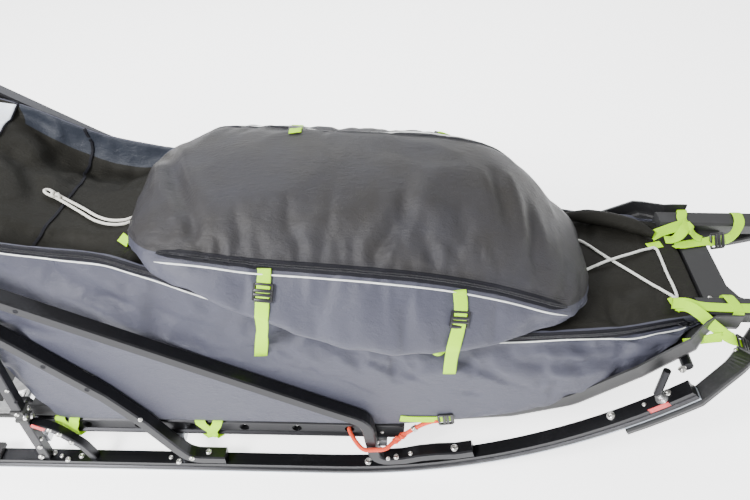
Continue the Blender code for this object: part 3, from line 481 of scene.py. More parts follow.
def settle_cloth(made, held, pressure, slack, cap):
    """Let a bag's cloth settle under a little pressure, held where it is sewn, and keep the result."""
    frames = bpy.context.scene.sled_sizes.cloth_frames
    start = coords(made)
    group = made.vertex_groups.new(name="sewn")
    for level in np.unique(held.round(2)):
        if level > 0:
            group.add([int(k) for k in np.nonzero(held.round(2) == level)[0]], float(level), "REPLACE")
    cloth = made.modifiers.new("cloth", "CLOTH")
    for key, value in {**COATED_NYLON, "uniform_pressure_force": pressure, "shrink_min": -slack,
                       "vertex_group_mass": "sewn"}.items():
        setattr(cloth.settings, key, value)
    cloth.settings.effector_weights.gravity = 0.0
    cloth.collision_settings.use_collision = False
    cloth.point_cache.frame_end = frames
    scene = bpy.context.scene
    for number in range(1, frames + 1):
        scene.frame_set(number)
    settled = made.evaluated_get(bpy.context.evaluated_depsgraph_get())
    moved = coords(settled) - start
    made.modifiers.remove(cloth)
    made.vertex_groups.remove(group)
    scene.frame_set(1)
    size = np.linalg.norm(moved, axis=1, keepdims=True)
    moved *= np.minimum(1.0, cap / np.maximum(size, 1e-9))
    set_coords(made, start + moved)


def crease(made, free, stretch, depth, turn=0.0, seed=0.0, base=0.35):
    """Press long folds into a cloth: ridged noise, drawn out along the fold's direction."""
    co = coords(made)
    away = normals(made)
    c, s = math.cos(turn), math.sin(turn)
    for k in np.nonzero(free > 0.01)[0]:
        x, y, z = co[k]
        p = Vector(((x * c + z * s) * stretch[0] + seed, y * stretch[1], (z * c - x * s) * stretch[2] + seed))
        ridge = 1.0 - abs(noise.noise(p)) * 2.0
        ridge = max(ridge, 0.0) ** 3 - base
        co[k] += away[k] * (depth * ridge * float(free[k]))
    set_coords(made, co)


def press(made, folds):
    """Press single folds into a cloth, each along a line of stations, with its width and depth."""
    co, away = coords(made), normals(made)
    tree = BVHTree.FromPolygons([tuple(p) for p in co], [tuple(f.vertices) for f in made.data.polygons])
    for width, depth, *line in folds:
        line = [np.array(tree.find_nearest(at(*p))[0]) for p in smooth_line(line, 4)]
        near, share = np.full(len(co), 9.0), np.zeros(len(co))
        for k, (a, b) in enumerate(zip(line, line[1:])):
            t = np.clip((co - a) @ (b - a) / max((b - a) @ (b - a), 1e-9), 0, 1)
            gap = np.linalg.norm(co - a - t[:, None] * (b - a), axis=1)
            share = np.where(gap < near, (k + t) / (len(line) - 1), share)
            near = np.minimum(near, gap)
        taper = np.clip(4 * share * (1 - share), 0, 1) ** 0.5
        shape = np.exp(-(near / width) ** 2) - 0.45 * np.exp(-((near - 1.9 * width) / width) ** 2)
        co -= away * (shape * taper * depth)[:, None]
    set_coords(made, co)


def finish_soft(made, *nodes, fill=0.45):
    """Round a settled bag with one subdivision, and let it stand for its plain solid."""
    round_off = made.modifiers.new("round", "SUBSURF")
    round_off.levels = 1
    round_off.render_levels = 1
    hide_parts(*nodes)
    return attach(made, "sled")


# Sections of the load bag, from the driver's end to the bow: station at the bed and at the hems, the
# right and the left hem's distance from the middle and height, the height of the cover's middle and
# of its edges' foot, the height of the skirt's lower edge and the half width of the belly
BAG_COLUMNS = "x_bed x_hem y_right z_right y_left z_left z_middle foot skirt belly"
BAG = [
    (-0.7, -0.892, 0.19, 0.69, 0.214, 0.705, 0.668, 0.02, 0.157, 0.233),
    (-0.67, -0.78, 0.176, 0.64, 0.222, 0.664, 0.605, 0.045, 0.157, 0.235),
    (-0.59, -0.64, 0.176, 0.614, 0.223, 0.596, 0.545, 0.055, 0.157, 0.2365),
    (-0.48, -0.52, 0.178, 0.603, 0.222, 0.566, 0.55, 0.045, 0.157, 0.2365),
    (-0.4, -0.44, 0.184, 0.58, 0.216, 0.556, 0.556, 0.016, 0.157, 0.2365),
    (-0.2, -0.22, 0.206, 0.5, 0.212, 0.505, 0.505, 0.0, 0.157, 0.2365),
    (0.03, 0.03, 0.214, 0.434, 0.212, 0.44, 0.44, 0.0, 0.158, 0.2365),
    (0.2, 0.2, 0.208, 0.434, 0.208, 0.434, 0.434, 0.0, 0.187, 0.235),
    (0.34, 0.34, 0.2, 0.434, 0.194, 0.434, 0.434, 0.002, 0.222, 0.23),
    (0.46, 0.475, 0.18, 0.427, 0.172, 0.428, 0.43, 0.002, 0.29, 0.218),
    (0.545, 0.58, 0.156, 0.425, 0.154, 0.426, 0.429, 0.002, 0.372, 0.198),
    (0.585, 0.65, 0.144, 0.427, 0.138, 0.427, 0.428, 0.001, 0.4, 0.156),
]
BED_LINE = [(-0.775, 0.1503), (0.06, 0.1503), (0.284, 0.181), (0.41, 0.228), (0.52, 0.325), (0.64, 0.41),
            (0.7, 0.41)]
BED_SHEET = 0.005
BED_SIDE_H = 0.045


def bed_top(x):
    """Height of the bed's upper face over a station."""
    for (x1, z1), (x2, z2) in zip(BED_LINE, BED_LINE[1:]):
        if x <= x2:
            slope = (z2 - z1) / (x2 - x1)
            return z1 + (x - x1) * slope + BED_SHEET * math.hypot(1, slope)
    return LIP_Z + BED_SHEET


FLOOR_LIFT = 0.004      # of the load bag's floor over the bed
TUCK_Y = 0.225          # side of the floor's edge


def bag_ring(row):
    """Control points round one section, from the middle of the floor up the right side."""
    low = bed_top(row.x_bed) + FLOOR_LIFT
    over = low + BED_SIDE_H - BED_SHEET
    belly, skirt, foot = row.belly, row.skirt, row.foot
    out = min(belly, BED_SIDE + SKIRT_OUT)
    tuck = min(TUCK_Y, belly - 0.006)
    sides = []
    for y_hem, z_hem in ((row.y_right, row.z_right), (row.y_left, row.z_left)):
        tall = z_hem - low
        over_z = min(over, z_hem - 0.25 * tall)
        sides.append([
            (tuck - 0.02, low), (tuck, low + min(0.01, 0.1 * tall)), (tuck, over_z - 0.004),
            (out - 0.004, over_z), (out - 0.0022, skirt + 0.004), (out - 0.0008, skirt), (out, skirt + 0.005),
            (belly, max(over, low + 0.3 * tall)), (belly + 0.001, low + 0.55 * tall),
            (y_hem + 0.45 * (belly - y_hem), low + 0.8 * tall),
            (y_hem + 0.004, z_hem - 0.022), (y_hem, z_hem - 0.002), (y_hem - 0.005, z_hem),
            (y_hem - 0.012, z_hem - 0.25 * foot - 0.002),
            (y_hem - 0.03, z_hem - foot),
            (y_hem * 0.45, row.z_middle + 0.3 * (z_hem - foot - row.z_middle))])
    ring = [(0.0, low)] + [(-y, z) for y, z in sides[0]] + [(0.0, row.z_middle)] + list(reversed(sides[1]))
    tall = max(z for y, z in ring) - low
    lean = row.x_hem - row.x_bed
    return [at(row.x_bed + lean * (z - low) / tall, y, z) for y, z in ring]


# How many pieces lie between each two control points round the load bag's section
BAG_AROUND = (6, 1, 2, 1, 2, 1, 1, 7, 12, 13, 4, 1, 1, 1, 2, 6, 6)
BAG_SKIRT = 7           # control points of the skirt and the hem, counted from the middle of the floor
BAG_HEM = 12
BAG_REACH = RUNNER_FACE - 0.0315        # the bag's sides end inside the stays
# The cover's panel of lighter cloth along its left hem: its two stations, and how many columns it has
PANEL_REAR, PANEL_FRONT, PANEL_COLUMNS = -0.785, -0.46, 4
# Single folds: width and depth, then points as station, side and height. A negative depth stands proud
BAG_FOLDS = [
    (0.013, 0.01, (-0.64, -0.2, 0.59), (-0.56, -0.205, 0.54), (-0.47, -0.22, 0.5)),
    (0.01, 0.008, (-0.52, -0.195, 0.58), (-0.455, -0.205, 0.54), (-0.4, -0.22, 0.505)),
    (0.012, 0.009, (-0.76, -0.2, 0.61), (-0.68, -0.21, 0.56), (-0.6, -0.225, 0.5)),
    (0.009, 0.006, (-0.44, -0.196, 0.56), (-0.4, -0.206, 0.53), (-0.352, -0.225, 0.47)),
    (0.011, 0.008, (-0.06, -0.232, 0.4), (-0.04, -0.234, 0.36), (-0.045, -0.236, 0.31)),
    (0.01, 0.007, (0.005, -0.232, 0.4), (0.03, -0.234, 0.36), (0.02, -0.236, 0.3)),
    (0.012, 0.008, (0.3, -0.215, 0.37), (0.38, -0.21, 0.35), (0.47, -0.2, 0.36)),
    (0.01, 0.007, (0.36, -0.205, 0.4), (0.44, -0.2, 0.385), (0.52, -0.185, 0.39)),
    (0.014, 0.012, (-0.7, -0.236, 0.33), (-0.64, -0.236, 0.26), (-0.6, -0.236, 0.2)),
    (0.01, 0.008, (-0.69, -0.236, 0.42), (-0.64, -0.236, 0.37), (-0.59, -0.236, 0.33)),
    (0.01, 0.008, (-0.7, -0.236, 0.26), (-0.665, -0.236, 0.225), (-0.65, -0.236, 0.18)),
    (0.02, 0.012, (-0.8, 0.12, 0.64), (-0.74, 0.08, 0.59), (-0.7, 0.0, 0.57)),
    (0.016, 0.01, (-0.72, 0.15, 0.6), (-0.64, 0.16, 0.57), (-0.56, 0.15, 0.56)),
    (0.014, 0.008, (-0.65, -0.06, 0.56), (-0.6, -0.1, 0.56), (-0.54, -0.12, 0.56)),
]


class SLED_OT_load_bag(bpy.types.Operator):
    """Sew the long bag that fills the bed: gathered sides, hems and a slack cover"""
    bl_idname = "sled.load_bag"
    bl_label = "Load bag"

    def execute(self, context):
        rings = [bag_ring(row) for row in named(BAG_COLUMNS, BAG)]
        around = BAG_AROUND + tuple(reversed(BAG_AROUND))
        along = (10, 12, 12, 8, 18, 22, 16, 14, 12, 10, 7)
        rows = skin(rings, along, around)
        made, count_i, count_j = grid_mesh("bag_body", rows)
        held = np.zeros((count_i, count_j))
        starts = np.cumsum((0,) + around)
        hem_r, hem_l = starts[BAG_HEM], starts[len(around) - BAG_HEM]
        held[:, :starts[BAG_SKIRT] + 1] = 1.0
        held[:, starts[len(around) - BAG_SKIRT]:] = 1.0
        for hem in (hem_r, hem_l):
            held[:, hem - 1:hem + 2] = 1.0
            held[:, hem - 2] = held[:, hem + 2] = 0.5
        held[:4] = 1.0
        held[-4:] = 1.0
        middle = starts[len(BAG_AROUND)]
        held[:, middle - 5:middle + 6] = np.maximum(held[:, middle - 5:middle + 6], 0.85)
        held = held.ravel()
        settle_cloth(made, held, 1.2, 0.035, 0.012)
        low = np.array([bed_top(x - ORIGIN_X) for x in coords(made)[:, 0]]) + BED_SIDE_H
        free = (1.0 - held) * np.clip((coords(made)[:, 2] - low - 0.004) / 0.07, 0.0, 1.0)
        crease(made, free, (2.2, 6.0, 11.0), -0.011, -0.45, 3.1, 0.0)
        crease(made, free, (6.0, 9.0, 19.0), -0.0065, -0.75, 8.4, 0.0)
        crease(made, free, (16.0, 16.0, 30.0), -0.002, 0.5, 1.4, 0.0)
        press(made, BAG_FOLDS)
        co = coords(made)
        outside = np.abs(co[:, 1]) > BAG_REACH
        co[outside, 1] = np.sign(co[outside, 1]) * BAG_REACH
        set_coords(made, co)
        paint(made, "bag_fabric")
        made.data.materials.append(MATERIALS["cover"])
        made.data.materials.append(MATERIALS["wall_cloth"])
        first, last = hem_r + 1, hem_l - 1
        for face in made.data.polygons:
            columns = sorted(v % count_j for v in face.vertices)
            if first <= columns[0] and columns[-1] <= last:
                face.material_index = 1
                station = face.center.x - ORIGIN_X
                if columns[0] > last - PANEL_COLUMNS and PANEL_REAR < station < PANEL_FRONT:
                    face.material_index = 2
        keep_lines(made, count_i, count_j, {"bag_right": hem_r, "bag_left": hem_l})
        finish_soft(made, "load_bag", fill=0.3)
        return {"FINISHED"}


# Sections of the top bag: station, the right and left edge on the cover, bulge and zip as a distance
# from the middle and a height, and the crown's height. The left side stands a little higher
TOP_COLUMNS = "x base_r low_r bulge_r mid_r zip_r top_r crown zip_l top_l bulge_l mid_l base_l low_l"
TOP = [
    (-0.492, 0.06, 0.56, 0.075, 0.566, 0.07, 0.575, 0.58, 0.075, 0.575, 0.08, 0.566, 0.065, 0.56),
    (-0.478, 0.1, 0.562, 0.118, 0.575, 0.11, 0.59, 0.598, 0.12, 0.59, 0.128, 0.575, 0.11, 0.562),
    (-0.44, 0.15, 0.566, 0.168, 0.585, 0.158, 0.605, 0.622, 0.17, 0.6, 0.182, 0.58, 0.165, 0.562),
    (-0.4, 0.182, 0.562, 0.202, 0.582, 0.18, 0.61, 0.636, 0.186, 0.605, 0.205, 0.578, 0.19, 0.556),
    (-0.33, 0.216, 0.548, 0.228, 0.575, 0.19, 0.612, 0.66, 0.2, 0.625, 0.222, 0.58, 0.208, 0.548),
    (-0.24, 0.232, 0.508, 0.24, 0.548, 0.196, 0.604, 0.676, 0.208, 0.625, 0.232, 0.56, 0.215, 0.525),
    (-0.12, 0.244, 0.462, 0.252, 0.51, 0.198, 0.596, 0.678, 0.214, 0.615, 0.242, 0.54, 0.222, 0.492),
    (0.03, 0.252, 0.438, 0.258, 0.485, 0.196, 0.58, 0.672, 0.216, 0.61, 0.246, 0.525, 0.222, 0.462),
    (0.13, 0.244, 0.436, 0.25, 0.475, 0.193, 0.562, 0.664, 0.212, 0.6, 0.24, 0.512, 0.216, 0.45),
    (0.22, 0.226, 0.438, 0.232, 0.468, 0.19, 0.538, 0.642, 0.2, 0.575, 0.222, 0.498, 0.2, 0.446),
    (0.29, 0.196, 0.44, 0.206, 0.462, 0.186, 0.51, 0.592, 0.178, 0.54, 0.194, 0.482, 0.176, 0.442),
    (0.35, 0.17, 0.438, 0.182, 0.454, 0.178, 0.484, 0.528, 0.148, 0.5, 0.16, 0.464, 0.145, 0.438),
    (0.4, 0.118, 0.436, 0.13, 0.446, 0.128, 0.46, 0.482, 0.11, 0.472, 0.118, 0.452, 0.106, 0.436),
    (0.424, 0.07, 0.435, 0.078, 0.44, 0.076, 0.446, 0.456, 0.07, 0.452, 0.074, 0.442, 0.066, 0.435),
]
TOP_AROUND = (8, 3, 3, 2, 8, 8, 8, 8, 2, 3, 3, 8)
FAR_ZIP_IN = 3          # columns between the left zip and the bulge's upper edge
TOP_FOLDS = [
    (0.016, 0.015, (-0.462, 0.13, 0.6), (-0.429, 0.064, 0.63), (-0.388, -0.037, 0.64),
     (-0.352, -0.11, 0.64), (-0.335, -0.165, 0.63)),
    (0.012, 0.007, (-0.416, -0.05, 0.62), (-0.392, -0.11, 0.63), (-0.376, -0.16, 0.62)),
    (0.013, 0.01, (0.048, -0.098, 0.66), (0.02, -0.14, 0.64), (-0.01, -0.172, 0.616),
     (-0.018, -0.186, 0.595)),
    (0.01, 0.008, (0.07, -0.146, 0.63), (0.086, -0.168, 0.61), (0.1, -0.184, 0.58)),
    (0.018, -0.006, (-0.175, -0.165, 0.635), (-0.12, -0.135, 0.65), (-0.05, -0.115, 0.65)),
    (0.02, -0.006, (0.05, -0.06, 0.67), (0.1, -0.11, 0.65), (0.12, -0.16, 0.61)),
    (0.016, 0.008, (0.205, 0.02, 0.65), (0.2207, -0.0473, 0.633), (0.2306, -0.1236, 0.6)),
    (0.014, 0.007, (0.27, -0.02, 0.6), (0.278, -0.08, 0.59), (0.272, -0.14, 0.56)),
    (0.022, 0.007, (-0.25, 0.12, 0.67), (-0.13, 0.15, 0.67), (0.02, 0.15, 0.67)),
    (0.02, 0.006, (-0.02, 0.06, 0.68), (0.08, 0.03, 0.67), (0.15, 0.01, 0.66)),
] + [(0.0065, 0.005, (x, -0.186, 0.6), (x + 0.004, -0.176, 0.62), (x + lean, -0.158, 0.63))
     for x, lean in ((-0.318, 0.012), (-0.288, -0.004), (-0.262, 0.01), (-0.15, -0.006), (-0.108, 0.008),
                     (-0.052, -0.008), (0.004, 0.01), (0.06, 0.004), (0.132, -0.01), (0.178, 0.006),
                     (0.215, -0.004))]


def top_ring(row):
    """Control points round one section, from the middle underneath up the right side and over."""
    x = row.x
    under = max(row.low_r, row.low_l) - 0.001
    lid = (row.crown - row.top_r, row.crown - row.top_l)
    points = [(0.0, under), (-row.base_r, row.low_r), (-row.bulge_r, row.mid_r),
              (-row.zip_r - 0.012, row.top_r - 0.014), (-row.zip_r, row.top_r),
              (-row.zip_r * 0.72, row.top_r + 0.62 * lid[0]), (0.0, row.crown),
              (row.zip_l * 0.62, row.top_l + 0.72 * lid[1]), (row.zip_l, row.top_l),
              (row.zip_l + 0.01, row.top_l - 0.014), (row.bulge_l, row.mid_l),
              (row.base_l, row.low_l)]
    return [at(x, y, z) for y, z in points]


class SLED_OT_top_bag(bpy.types.Operator):
    """Sew the zipped bag that lies on the load bag, with its crowned lid and bulging sides"""
    bl_idname = "sled.top_bag"
    bl_label = "Top bag"

    def execute(self, context):
        rings = [top_ring(row) for row in named(TOP_COLUMNS, TOP)]
        along = (3, 5, 5, 8, 10, 13, 16, 11, 10, 8, 7, 6, 3)
        rows = skin(rings, along, TOP_AROUND)
        made, count_i, count_j = grid_mesh("top_bag_body", rows)
        starts = np.cumsum((0,) + TOP_AROUND)
        base_r, zip_r, zip_l, base_l = (starts[k] for k in (1, 4, 8, 11))
        held = np.zeros((count_i, count_j))
        for j in (0, base_r, zip_r, zip_l, base_l):
            held[:, j] = 1.0
        held[:, :base_r] = 1.0
        held[:, base_l:] = 1.0
        held[:3] = 1.0
        held[-3:] = 1.0
        held = held.ravel()
        settle_cloth(made, held, 1.6, 0.03, 0.012)
        free = 1.0 - held
        crease(made, free, (3.2, 4.0, 6.0), 0.005, 0.5, 5.7)
        crease(made, free, (8.0, 11.0, 16.0), 0.002, -0.6, 2.9)
        sides = free.reshape(count_i, count_j).copy()
        sides[:, zip_r:zip_l] = 0.0
        crease(made, sides.ravel(), (15.0, 9.0, 8.0), 0.0052, 0.3, 4.2)
        press(made, TOP_FOLDS)
        paint(made, "top_fabric")
        made.data.materials.append(MATERIALS["bag_fabric"])
        for face in made.data.polygons:
            columns = sorted(v % count_j for v in face.vertices)
            underneath = columns[0] == 0 and columns[-1] == count_j - 1
            if underneath or columns[-1] <= zip_r or columns[0] >= zip_l - FAR_ZIP_IN:
                face.material_index = 1
        columns = {"top_right": zip_r, "top_left": zip_l - FAR_ZIP_IN, "top_left_in": zip_l - FAR_ZIP_IN - 6}
        keep_lines(made, count_i, count_j, columns, -0.405, 0.356)
        inner = SEAMS.pop("top_left_in")
        SEAMS["top_left"] = [(p.lerp(q, math.exp(-((p.x - ORIGIN_X) / 0.24) ** 4)), away)
                             for (p, away), (q, _) in zip(SEAMS["top_left"], inner)]
        finish_soft(made, "top_bag", fill=0.6)
        return {"FINISHED"}


SURFACES = {}
UP_WAY = Vector((0, 0, 1))


def surface(name):
    """The finished surface of a piece or node, for what is sewn, bolted or laid on it."""
    if name not in SURFACES:
        bpy.context.view_layer.update()
        made = NODES.get(name) or bpy.data.objects[name]
        SURFACES[name] = BVHTree.FromObject(made, bpy.context.evaluated_depsgraph_get())
    return SURFACES[name]


def cling(point, names, lift=0.0):
    """The nearest place on the named surfaces, so far above it, and the way out of it."""
    place, away, _, _ = min((surface(name).find_nearest(point) for name in names), key=lambda hit: hit[3])
    return place + away * lift, away


def seat(name, point, away):
    """Where a screw pushed in against away meets a node, and the node's face there."""
    away = Vector(away).normalized()
    hit = surface(name).ray_cast(Vector(point) + away * 0.04, -away, 0.08)
    return (hit[0], hit[1]) if hit[0] else cling(Vector(point), [name])


def heading(points, k, closed=False):
    """The way that a line of points runs at one of them."""
    last = len(points) - 1
    after = points[(k + 1) % len(points)] if closed else points[min(k + 1, last)]
    before = points[k - 1] if closed or k else points[0]
    return (after - before).normalized()


def grid_piece(name, rows, across, closed=False, round_it=False):
    """A closed tube or band from rows of points, with UV X across it and UV Y along it in metres."""
    count, n = len(rows[0]), len(rows)
    made = new_piece(name, [p for row in rows for p in row], tube_faces(n, count, closed))
    middles = [sum(row, Vector()) / count for row in rows]
    along = [0.0]
    for a, b in zip(middles, middles[1:] + middles[:1]):
        along.append(along[-1] + (b - a).length)
    layer = made.data.uv_layers.new(name="UVMap")
    for face in made.data.polygons:
        spots = [divmod(v, count) for v in face.vertices]
        wraps = round_it and {0, count - 1} <= {j for i, j in spots}
        over = closed and {0, n - 1} <= {i for i, j in spots}
        for loop, (i, j) in zip(face.loop_indices, spots):
            layer.data[loop].uv = (1.0 if wraps and j == 0 else across[j], along[n if over and i == 0 else i])
    return made


def drawn_in(k, count):
    """Share of a trim's full width near its ends."""
    return min(1.0, 0.3 + 0.22 * min(k, count - 1 - k))


def hose(name, points, radius, sides=10, closed=False):
    """A round cord or piping along points; radius may be a list."""
    rows, side = [], None
    for k, p in enumerate(points):
        ahead = heading(points, k, closed)
        side = ahead.orthogonal().normalized() if side is None else side
        side = (side - ahead * side.dot(ahead)).normalized()
        up = ahead.cross(side)
        r = radius[k] if isinstance(radius, list) else radius
        rows.append([p + (side * math.cos(a) + up * math.sin(a)) * r for a in turns(sides)])
    return grid_piece(name, rows, [j / sides for j in range(sides)], closed, True)


# A tape's section: shares of its width and of its thickness
BAND = ((-0.5, 0.0), (-0.5, 0.8), (-0.42, 1.0), (-0.2, 1.0), (0.0, 1.0), (0.2, 1.0), (0.42, 1.0),
        (0.5, 0.8), (0.5, 0.0))


def band(name, points, aways, full_width, thick, on=(), lift=0.0003, closed=False, free=None, taper=False):
    """A flat tape along points. Where it lies on cloth its whole width follows the cloth."""
    rows = []
    for k, (p, away) in enumerate(zip(points, aways)):
        width = full_width * (drawn_in(k, len(points)) if taper else 1.0)
        side = heading(points, k, closed).cross(away).normalized()
        row = []
        for a, b in BAND:
            q, up = p + side * (a * width), away
            if on and not (free and free[k]):
                q, up = cling(q, on, lift)
            row.append(q + up * (b * thick))
        rows.append(row)
    return grid_piece(name, rows, [a + 0.5 for a, b in BAND], closed)


def lay(table, on, per=5, lift=0.0004):
    """A smooth line through a table of points whose last column says where it lies on the cloth.

    Gives its points, the ways out of the cloth, and which of them are free of it.
    """
    knots, ways = [], []
    for x, y, z, held in table:
        p = at(x, y, z)
        place, away = cling(p, on, lift)
        knots.append(place if held else p)
        ways.append(away)
    points, aways, free = [], [], []
    line = smooth_line(knots, per)
    for k, p in enumerate(line):
        i = min(k // per, len(table) - 2)
        t = k / per - i
        held = table[i][3] and table[i + 1][3]
        place, away = cling(p, on, lift)
        inside = (p - place).dot(away) < 0
        points.append(place if held or inside else p)
        aways.append(away if held else ways[i].lerp(ways[i + 1], t).normalized())
        free.append(not held)
    return points, aways, free


ROW_NODES = {
    "source": ("NodeGroupInput", {}), "out": ("NodeGroupOutput", {}), "shape": ("GeometryNodeObjectInfo", {}),
    "away": ("GeometryNodeInputNamedAttribute", {"data_type": "FLOAT_VECTOR"}),
    "size": ("GeometryNodeInputNamedAttribute", {"data_type": "FLOAT"}),
    "stand": ("FunctionNodeAlignRotationToVector", {"axis": "Z"}),
    "turn": ("FunctionNodeAlignRotationToVector", {"axis": "X", "pivot_axis": "Z"}),
    "curve": ("GeometryNodeMeshToCurve", {}), "even": ("GeometryNodeResampleCurve", {"mode": "LENGTH"}),
    "ahead": ("GeometryNodeInputTangent", {}), "put": ("GeometryNodeInstanceOnPoints", {}),
    "real": ("GeometryNodeRealizeInstances", {}), "finish": ("GeometryNodeSetMaterial", {}),
}
ROW_LINKS = """source.Shape shape.Object, away.Attribute stand.Vector, shape.Geometry put.Instance,
    size.Attribute put.Scale, put.Instances real.Geometry, real.Geometry finish.Geometry,
    source.Finish finish.Material, finish.Geometry out.Geometry, """
SPOT_LINKS = "source.Geometry put.Points, stand.Rotation put.Rotation"
PATH_LINKS = """source.Geometry curve.Mesh, curve.Curve even.Curve, source.Pitch even.Length,
    even.Curve put.Points, stand.Rotation turn.Rotation, ahead.Tangent turn.Vector,
    turn.Rotation put.Rotation"""


def row_tree(along_path):
    """Geometry Nodes that set a shape at each point, or one per pitch along each path, turned outward."""
    tree = bpy.data.node_groups.new("row_of_shapes", "GeometryNodeTree")
    for name, kind in (("Geometry", "Geometry"), ("Shape", "Object"), ("Pitch", "Float"),
                       ("Finish", "Material")):
        tree.interface.new_socket(name=name, in_out="INPUT", socket_type="NodeSocket" + kind)
    tree.interface.new_socket(name="Geometry", in_out="OUTPUT", socket_type="NodeSocketGeometry")
    links = ROW_LINKS + (PATH_LINKS if along_path else SPOT_LINKS)
    nodes = {}
    for key, (kind, settings) in ROW_NODES.items():
        if key + "." in links:
            nodes[key] = tree.nodes.new(kind)
            for setting, value in settings.items():
                setattr(nodes[key], setting, value)
    for key in ("away", "size"):
        nodes[key].inputs["Name"].default_value = key
    for pair in links.split(","):
        (one, sent), (two, taken) = (end.split(".") for end in pair.split())
        tree.links.new(nodes[one].outputs[sent], nodes[two].inputs[taken])
    return tree


def scatter(name, paths, shape, finish, pitch=0.0):
    """Copies of a shape on paths of (point, away) or (point, away, size).

    Geometry Nodes make them. They are kept as one plain mesh, and the shape itself is used up.
    """
    spots = [(*spot, 1.0)[:3] for path in paths for spot in path]
    ends = set(np.cumsum([len(path) for path in paths]).tolist())
    edges = [(k - 1, k) for k in range(1, len(spots)) if pitch and k not in ends]
    mesh = plain_mesh(name + "_path", [p for p, away, size in spots], edges=edges)
    mesh.attributes.new("away", "FLOAT_VECTOR", "POINT").data.foreach_set(
        "vector", [value for p, away, size in spots for value in away])
    mesh.attributes.new("size", "FLOAT", "POINT").data.foreach_set("value", [size for p, away, size in spots])
    base = in_scene(name + "_path", mesh)
    rows = base.modifiers.new("rows", "NODES")
    rows.node_group = row_tree(bool(pitch))
    values = {"Shape": shape, "Pitch": pitch, "Finish": MATERIALS[finish]}
    for item in rows.node_group.interface.items_tree:
        if item.item_type == "SOCKET" and item.in_out == "INPUT" and item.name in values:
            rows[item.identifier] = values[item.name]
    mesh = bpy.data.meshes.new_from_object(base.evaluated_get(bpy.context.evaluated_depsgraph_get()))
    base.modifiers.remove(rows)
    bpy.data.objects.remove(base)
    bpy.data.objects.remove(shape)
    mesh.name = name
    return fitted(in_scene(name, mesh), finish)


def turned(name, profile, sides):
    """A shape turned about Z from a profile of (radius, height), closed at both ends."""
    verts = []
    for r, z, corners in profile:
        for a in turns(sides):
            half = math.pi / corners if corners else 0
            k = math.cos(half) / math.cos(a % (2 * half) - half) if corners else 1
            verts.append((r * k * math.cos(a), r * k * math.sin(a), z))
    made = new_piece(name, verts, tube_faces(len(profile), sides))
    made.data.set_sharp_from_angle(angle=math.radians(32))
    return made


def lozenge(name, long, wide, high):
    """A small rounded bar, long along X: a stitch, or a tooth when it is wide."""
    verts = [(x * long, math.cos(a) * k * wide / 2, math.sin(a) * k * high)
             for x, k in ((-0.5, 0.45), (-0.32, 1.0), (0.32, 1.0), (0.5, 0.45)) for a in turns(6, 0.5)]
    return new_piece(name, verts, tube_faces(4, 6))


# Profiles of fasteners for a head one unit in radius: radius, height and corners, none for round
BUTTON_HEAD = [(0.98, -0.05, 0), (1.0, 0.1, 0), (0.94, 0.32, 0), (0.76, 0.55, 0), (0.56, 0.66, 0),
               (0.5, 0.66, 6), (0.46, 0.2, 6), (0.05, 0.16, 6)]
SUNK_SCREW = [(0.98, -0.05, 0), (1.0, 0.06, 0), (0.94, 0.12, 0), (0.86, 0.1, 0), (0.8, 0.02, 0),
              (0.5, 0.02, 0), (0.46, 0.01, 6), (0.05, 0.01, 6)]
HEX_NUT = [(1.15, -0.02, 0), (1.15, 0.12, 0), (0.98, 0.14, 6), (0.98, 0.78, 6), (0.84, 0.88, 0),
           (0.52, 0.88, 0), (0.5, 1.18, 0), (0.4, 1.26, 0), (0.05, 1.26, 0)]


# A bar's section with its rounded edges: shares of its half width and half height
BAR_SECTION = ((-1, -0.5), (-0.6, -1), (0.6, -1), (1, -0.5), (1, 0.5), (0.6, 1), (-0.6, 1), (-1, 0.5))


def bar(bm, p, q, wide, high, up):
    """A bar with rounded edges and ends from p to q."""
    ahead = (q - p).normalized()
    side = ahead.cross(up).normalized()
    up = side.cross(ahead)
    rows = []
    for share, k in ((0.0, 0.7), (0.06, 1.0), (0.94, 1.0), (1.0, 0.7)):
        middle = p.lerp(q, share)
        rows.append([bm.verts.new(middle + side * (a * wide * k / 2) + up * (b * high * k / 2))
                     for a, b in BAR_SECTION])
    for one, two in zip(rows, rows[1:]):
        for j in range(8):
            bm.faces.new((one[j], one[(j + 1) % 8], two[(j + 1) % 8], two[j]))
    bm.faces.new(rows[0])
    bm.faces.new(rows[-1])


# Bars of a ladder lock: from and to as shares of its half length and half width, height, and the bar's
# two sides
LADDER_LOCK = [(-1.0, -1, 1.0, -1, 0.0, 0.0046, 0.0052), (-1.0, 1, 1.0, 1, 0.0, 0.0046, 0.0052),
               (-0.92, -1, -0.92, 1, 0.0, 0.005, 0.004), (-0.18, -1, -0.18, 1, 0.0018, 0.0062, 0.0034),
               (0.3, -1, 0.3, 1, 0.0018, 0.006, 0.0034), (0.92, -1, 0.92, 1, 0.0, 0.0074, 0.0042)]
LOCK_HALF_LENGTH = 0.0155
LOCK_SIDE = 0.0034      # from the tape's edge to the middle of the lock's side bar


def buckles(name, places):
    """Ladder locks at places of (point, ahead, away)."""
    width = bpy.context.scene.sled_sizes.webbing_width
    half, length = width / 2 + LOCK_SIDE, LOCK_HALF_LENGTH
    bm = bmesh.new()
    for place, ahead, away in places:
        side = ahead.cross(away).normalized()
        away = side.cross(ahead).normalized()
        for u1, v1, u2, v2, lift, wide, high in LADDER_LOCK:
            p, q = (place + ahead * (u * length) + side * (v * half) + away * (lift + 0.0022)
                    for u, v in ((u1, v1), (u2, v2)))
            bar(bm, p, q, wide, high, away)
    bmesh.ops.recalc_face_normals(bm, faces=bm.faces)
    mesh = bpy.data.meshes.new(name)
    bm.to_mesh(mesh)
    bm.free()
    mesh.shade_smooth()
    mesh.set_sharp_from_angle(angle=math.radians(38))
    return fitted(in_scene(name, mesh), "buckle")


